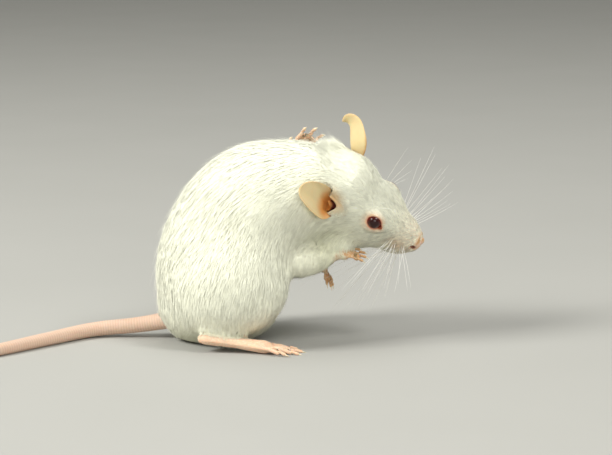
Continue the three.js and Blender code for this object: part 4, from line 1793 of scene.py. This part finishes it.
# ------------------------------------------------------------------ claws
@dataclass
class Claws:
    """The claws of one foot, each with the end of its toe, sunk a little into the foot."""

    foot: str
    kind: str
    count: int
    sunk: float = 0.55
    joint: float = 0.6
    steps: int = 17

    def claw(self, node: str, heel: Array) -> bmesh.types.BMesh:
        """Makes the end of one toe, with its claw, along its node."""
        points = points_of(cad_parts[node].data)
        middle = points.mean(axis=0)
        axis = np.linalg.svd(points - middle, full_matrices=False)[2][0]
        axis *= np.sign(axis @ (middle - heel))
        reach = (points - middle) @ axis
        root, tip = middle + axis * reach.min(), middle + axis * reach.max()
        radius = 0.95 * np.linalg.norm(points - middle - reach[:, None] * axis, axis=1).max()
        t = np.linspace(0.0, 1.0, self.steps)
        line = root - axis * self.sunk + (tip - root + axis * self.sunk) * t[:, None]
        line[:, 2] -= 0.25 * ramp(t, 0.55, 1.2) * (line[:, 2] > 1.0)
        toe = 0.88 + 0.16 * hill(t, self.joint - 0.1, 0.1)
        toe *= 1.0 - ramp(t, self.joint, self.joint + 0.12)
        horn = 0.6 * (1.0 - 0.85 * ramp(t, self.joint - 0.1, 1.1))
        return swept(line, radius * np.maximum(toe, horn), 10)

    def build(self, finish: bpy.types.Material) -> bpy.types.Object:
        """Makes the foot's claws as one piece."""
        nodes = [f"{self.foot}_{self.kind}_claw_{k + 1}" for k in range(self.count)]
        carrier = "hind_foot" if self.kind == "hind" else "forepaw"
        low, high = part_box(f"{self.foot}_{carrier}")
        heel = np.array((low + high) / 2.0) / MM
        mesh = joined([self.claw(node, heel) for node in nodes])
        for vert in mesh.vertices:
            vert.co.z = max(vert.co.z, 0.00001)
        along = shares_of(mesh)[1]
        # the forepaws' toes take the same painted shade
        toe = Colour.TOE if self.kind == "hind" else Colour.PAW_SHADE
        toes = np.tile(toe.light, (len(along), 1))
        horny = ramp(along, self.joint - 0.02, self.joint + 0.08)
        paint_points(mesh, blended(toes, Colour.HORN.light, horny))
        return put(f"{self.foot}_{self.kind}_claws", mesh, [finish], nodes)


# ------------------------------------------------------------------ stage, light and camera
@dataclass(frozen=True)
class SoftBox:
    """A square lamp that faces the animal: its place and size in metres, its power and its colour."""

    name: str
    place: tuple
    size: float
    power: float
    colour: tuple = (1.0, 0.995, 0.96)

    def build(self) -> None:
        """Adds the lamp."""
        lamp = bpy.data.lights.new(self.name, "AREA")
        lamp.size = self.size
        lamp.energy = self.power
        lamp.color = self.colour
        box = bpy.data.objects.new(self.name, lamp)
        box.location = Vector(self.place)
        aim = Vector((0.02, 0.0, 0.02)) - box.location
        box.rotation_euler = aim.to_track_quat("-Z", "Y").to_euler()
        bpy.context.scene.collection.objects.link(box)


SOFT_BOXES = (
    SoftBox("key", (-0.59, -0.24, 0.50), 0.26, 6.9, (1.0, 0.995, 0.95)),
    SoftBox("second", (0.42, -0.26, 0.62), 0.20, 2.7),
    SoftBox("top", (0.05, 0.20, 0.80), 0.45, 1.6),
    SoftBox("fill", (0.10, -0.62, 0.24), 0.35, 1.3),
)


@dataclass
class Studio:
    """A plain pale floor, four soft boxes, a soft sky and the camera."""

    distance: float = 450.0
    elevation: float = 10.0
    aside: float = 23.2
    above: float = 22.5
    focal_px: float = 2250.0
    frame_px: float = 612.0
    sensor: float = 36.0
    floor_half: float = 4000.0

    def floor(self) -> None:
        """Makes the floor."""
        sheet = bmesh.new()
        bmesh.ops.create_grid(sheet, x_segments=8, y_segments=8, size=self.floor_half * MM)
        mesh = joined([sheet])
        shader = Shader("pale_floor")
        grain = shader.noise(shader.place(), 40.0)
        shader.set(
            Base_Color=shader.mix((0.37, 0.367, 0.345, 1.0), (0.39, 0.386, 0.365, 1.0), grain),
            Roughness=0.85,
        )
        mesh.materials.append(shader.material)
        floor = bpy.data.objects.new("floor", mesh)
        bpy.context.scene.collection.objects.link(floor)

    def light(self) -> None:
        """Adds the lamps and a soft sky."""
        for box in SOFT_BOXES:
            box.build()
        world = bpy.data.worlds.new("sky")
        world.use_nodes = True
        back = world.node_tree.nodes["Background"]
        back.inputs["Color"].default_value = (0.95, 0.95, 0.89, 1.0)
        back.inputs["Strength"].default_value = 0.37
        bpy.context.scene.world = world

    def camera(self) -> None:
        """Sets up the camera."""
        tilt = math.radians(self.elevation)
        right = Vector((1.0, 0.0, 0.0))
        up = Vector((0.0, math.sin(tilt), math.cos(tilt)))
        ahead = Vector((0.0, math.cos(tilt), -math.sin(tilt)))
        eye = bpy.data.cameras.new("camera")
        eye.sensor_width = self.sensor
        eye.lens = self.sensor * self.focal_px / self.frame_px
        eye.clip_start = 0.01
        eye.clip_end = 20.0
        holder = bpy.data.objects.new("camera", eye)
        at = right * self.aside + up * self.above - ahead * self.distance
        turn = Matrix((right, up, -ahead)).transposed().to_4x4()
        holder.matrix_world = Matrix.Translation(at * MM) @ turn
        bpy.context.scene.collection.objects.link(holder)
        bpy.context.scene.camera = holder

    def build(self) -> None:
        """Sets the stage."""
        self.floor()
        self.light()
        self.camera()
        bpy.context.scene.view_settings.view_transform = "Standard"


# ------------------------------------------------------------------ the whole animal
EARS = (
    Ear(
        "right_ear", -1.0, (1.1, -6.4, -2.4), (-0.46, -0.8, 0.4), (0.85, -0.5, -0.1), length=11.4,
        width=6.3, cup=2.2, tip_cup=0.15, bend=30.0, bend_from=0.35, skew=-0.9, buried=2.5, screen=0.0,
    ),
    Ear(
        "left_ear", 1.0, (0.5, 5.0, 0.5), (-0.03, 0.2, 0.97), (0.94, -0.06, -0.3), length=9.7,
        width=10.0, cup=3.1, tip_cup=0.75, bend=88.0, bend_from=0.68, skew=0.0, buried=3.2, screen=0.8,
    ),
)


def main() -> None:
    """Builds the animal and its stage, piece by piece."""
    logging.basicConfig(level=logging.INFO, format="%(message)s")
    Studio().build()
    eyes = [Eye("right_eye", -1.0), Eye("left_eye", 1.0)]
    finishes = {
        "skin": SkinFinish().make(),
        "ear": SkinFinish("ear_skin", depth=0.25, reach_mm=0.4, pore_mm=0.35, relief_mm=0.03).make(),
        "tail": SkinFinish("tail_skin", depth=0.3, pore_mm=0.2, relief_mm=0.05).make(),
    }
    skin = Skin(eyes, list(EARS), Tail())
    body, names, bare = skin.build(finishes)
    ruby = EyeFinish().make()
    for eye in eyes:
        eye.build(ruby)
    coat = Coat(body, names, bare, skin)
    coat.build(CoatFinish().make())
    Whiskers(coat.tree).build(HairFinish().make())
    horn = HornFinish().make()
    for side in ("right", "left"):
        Claws(side, "hind", 5).build(horn)
        Claws(side, "fore", 4).build(horn)


if __name__ == "__main__":
    main()
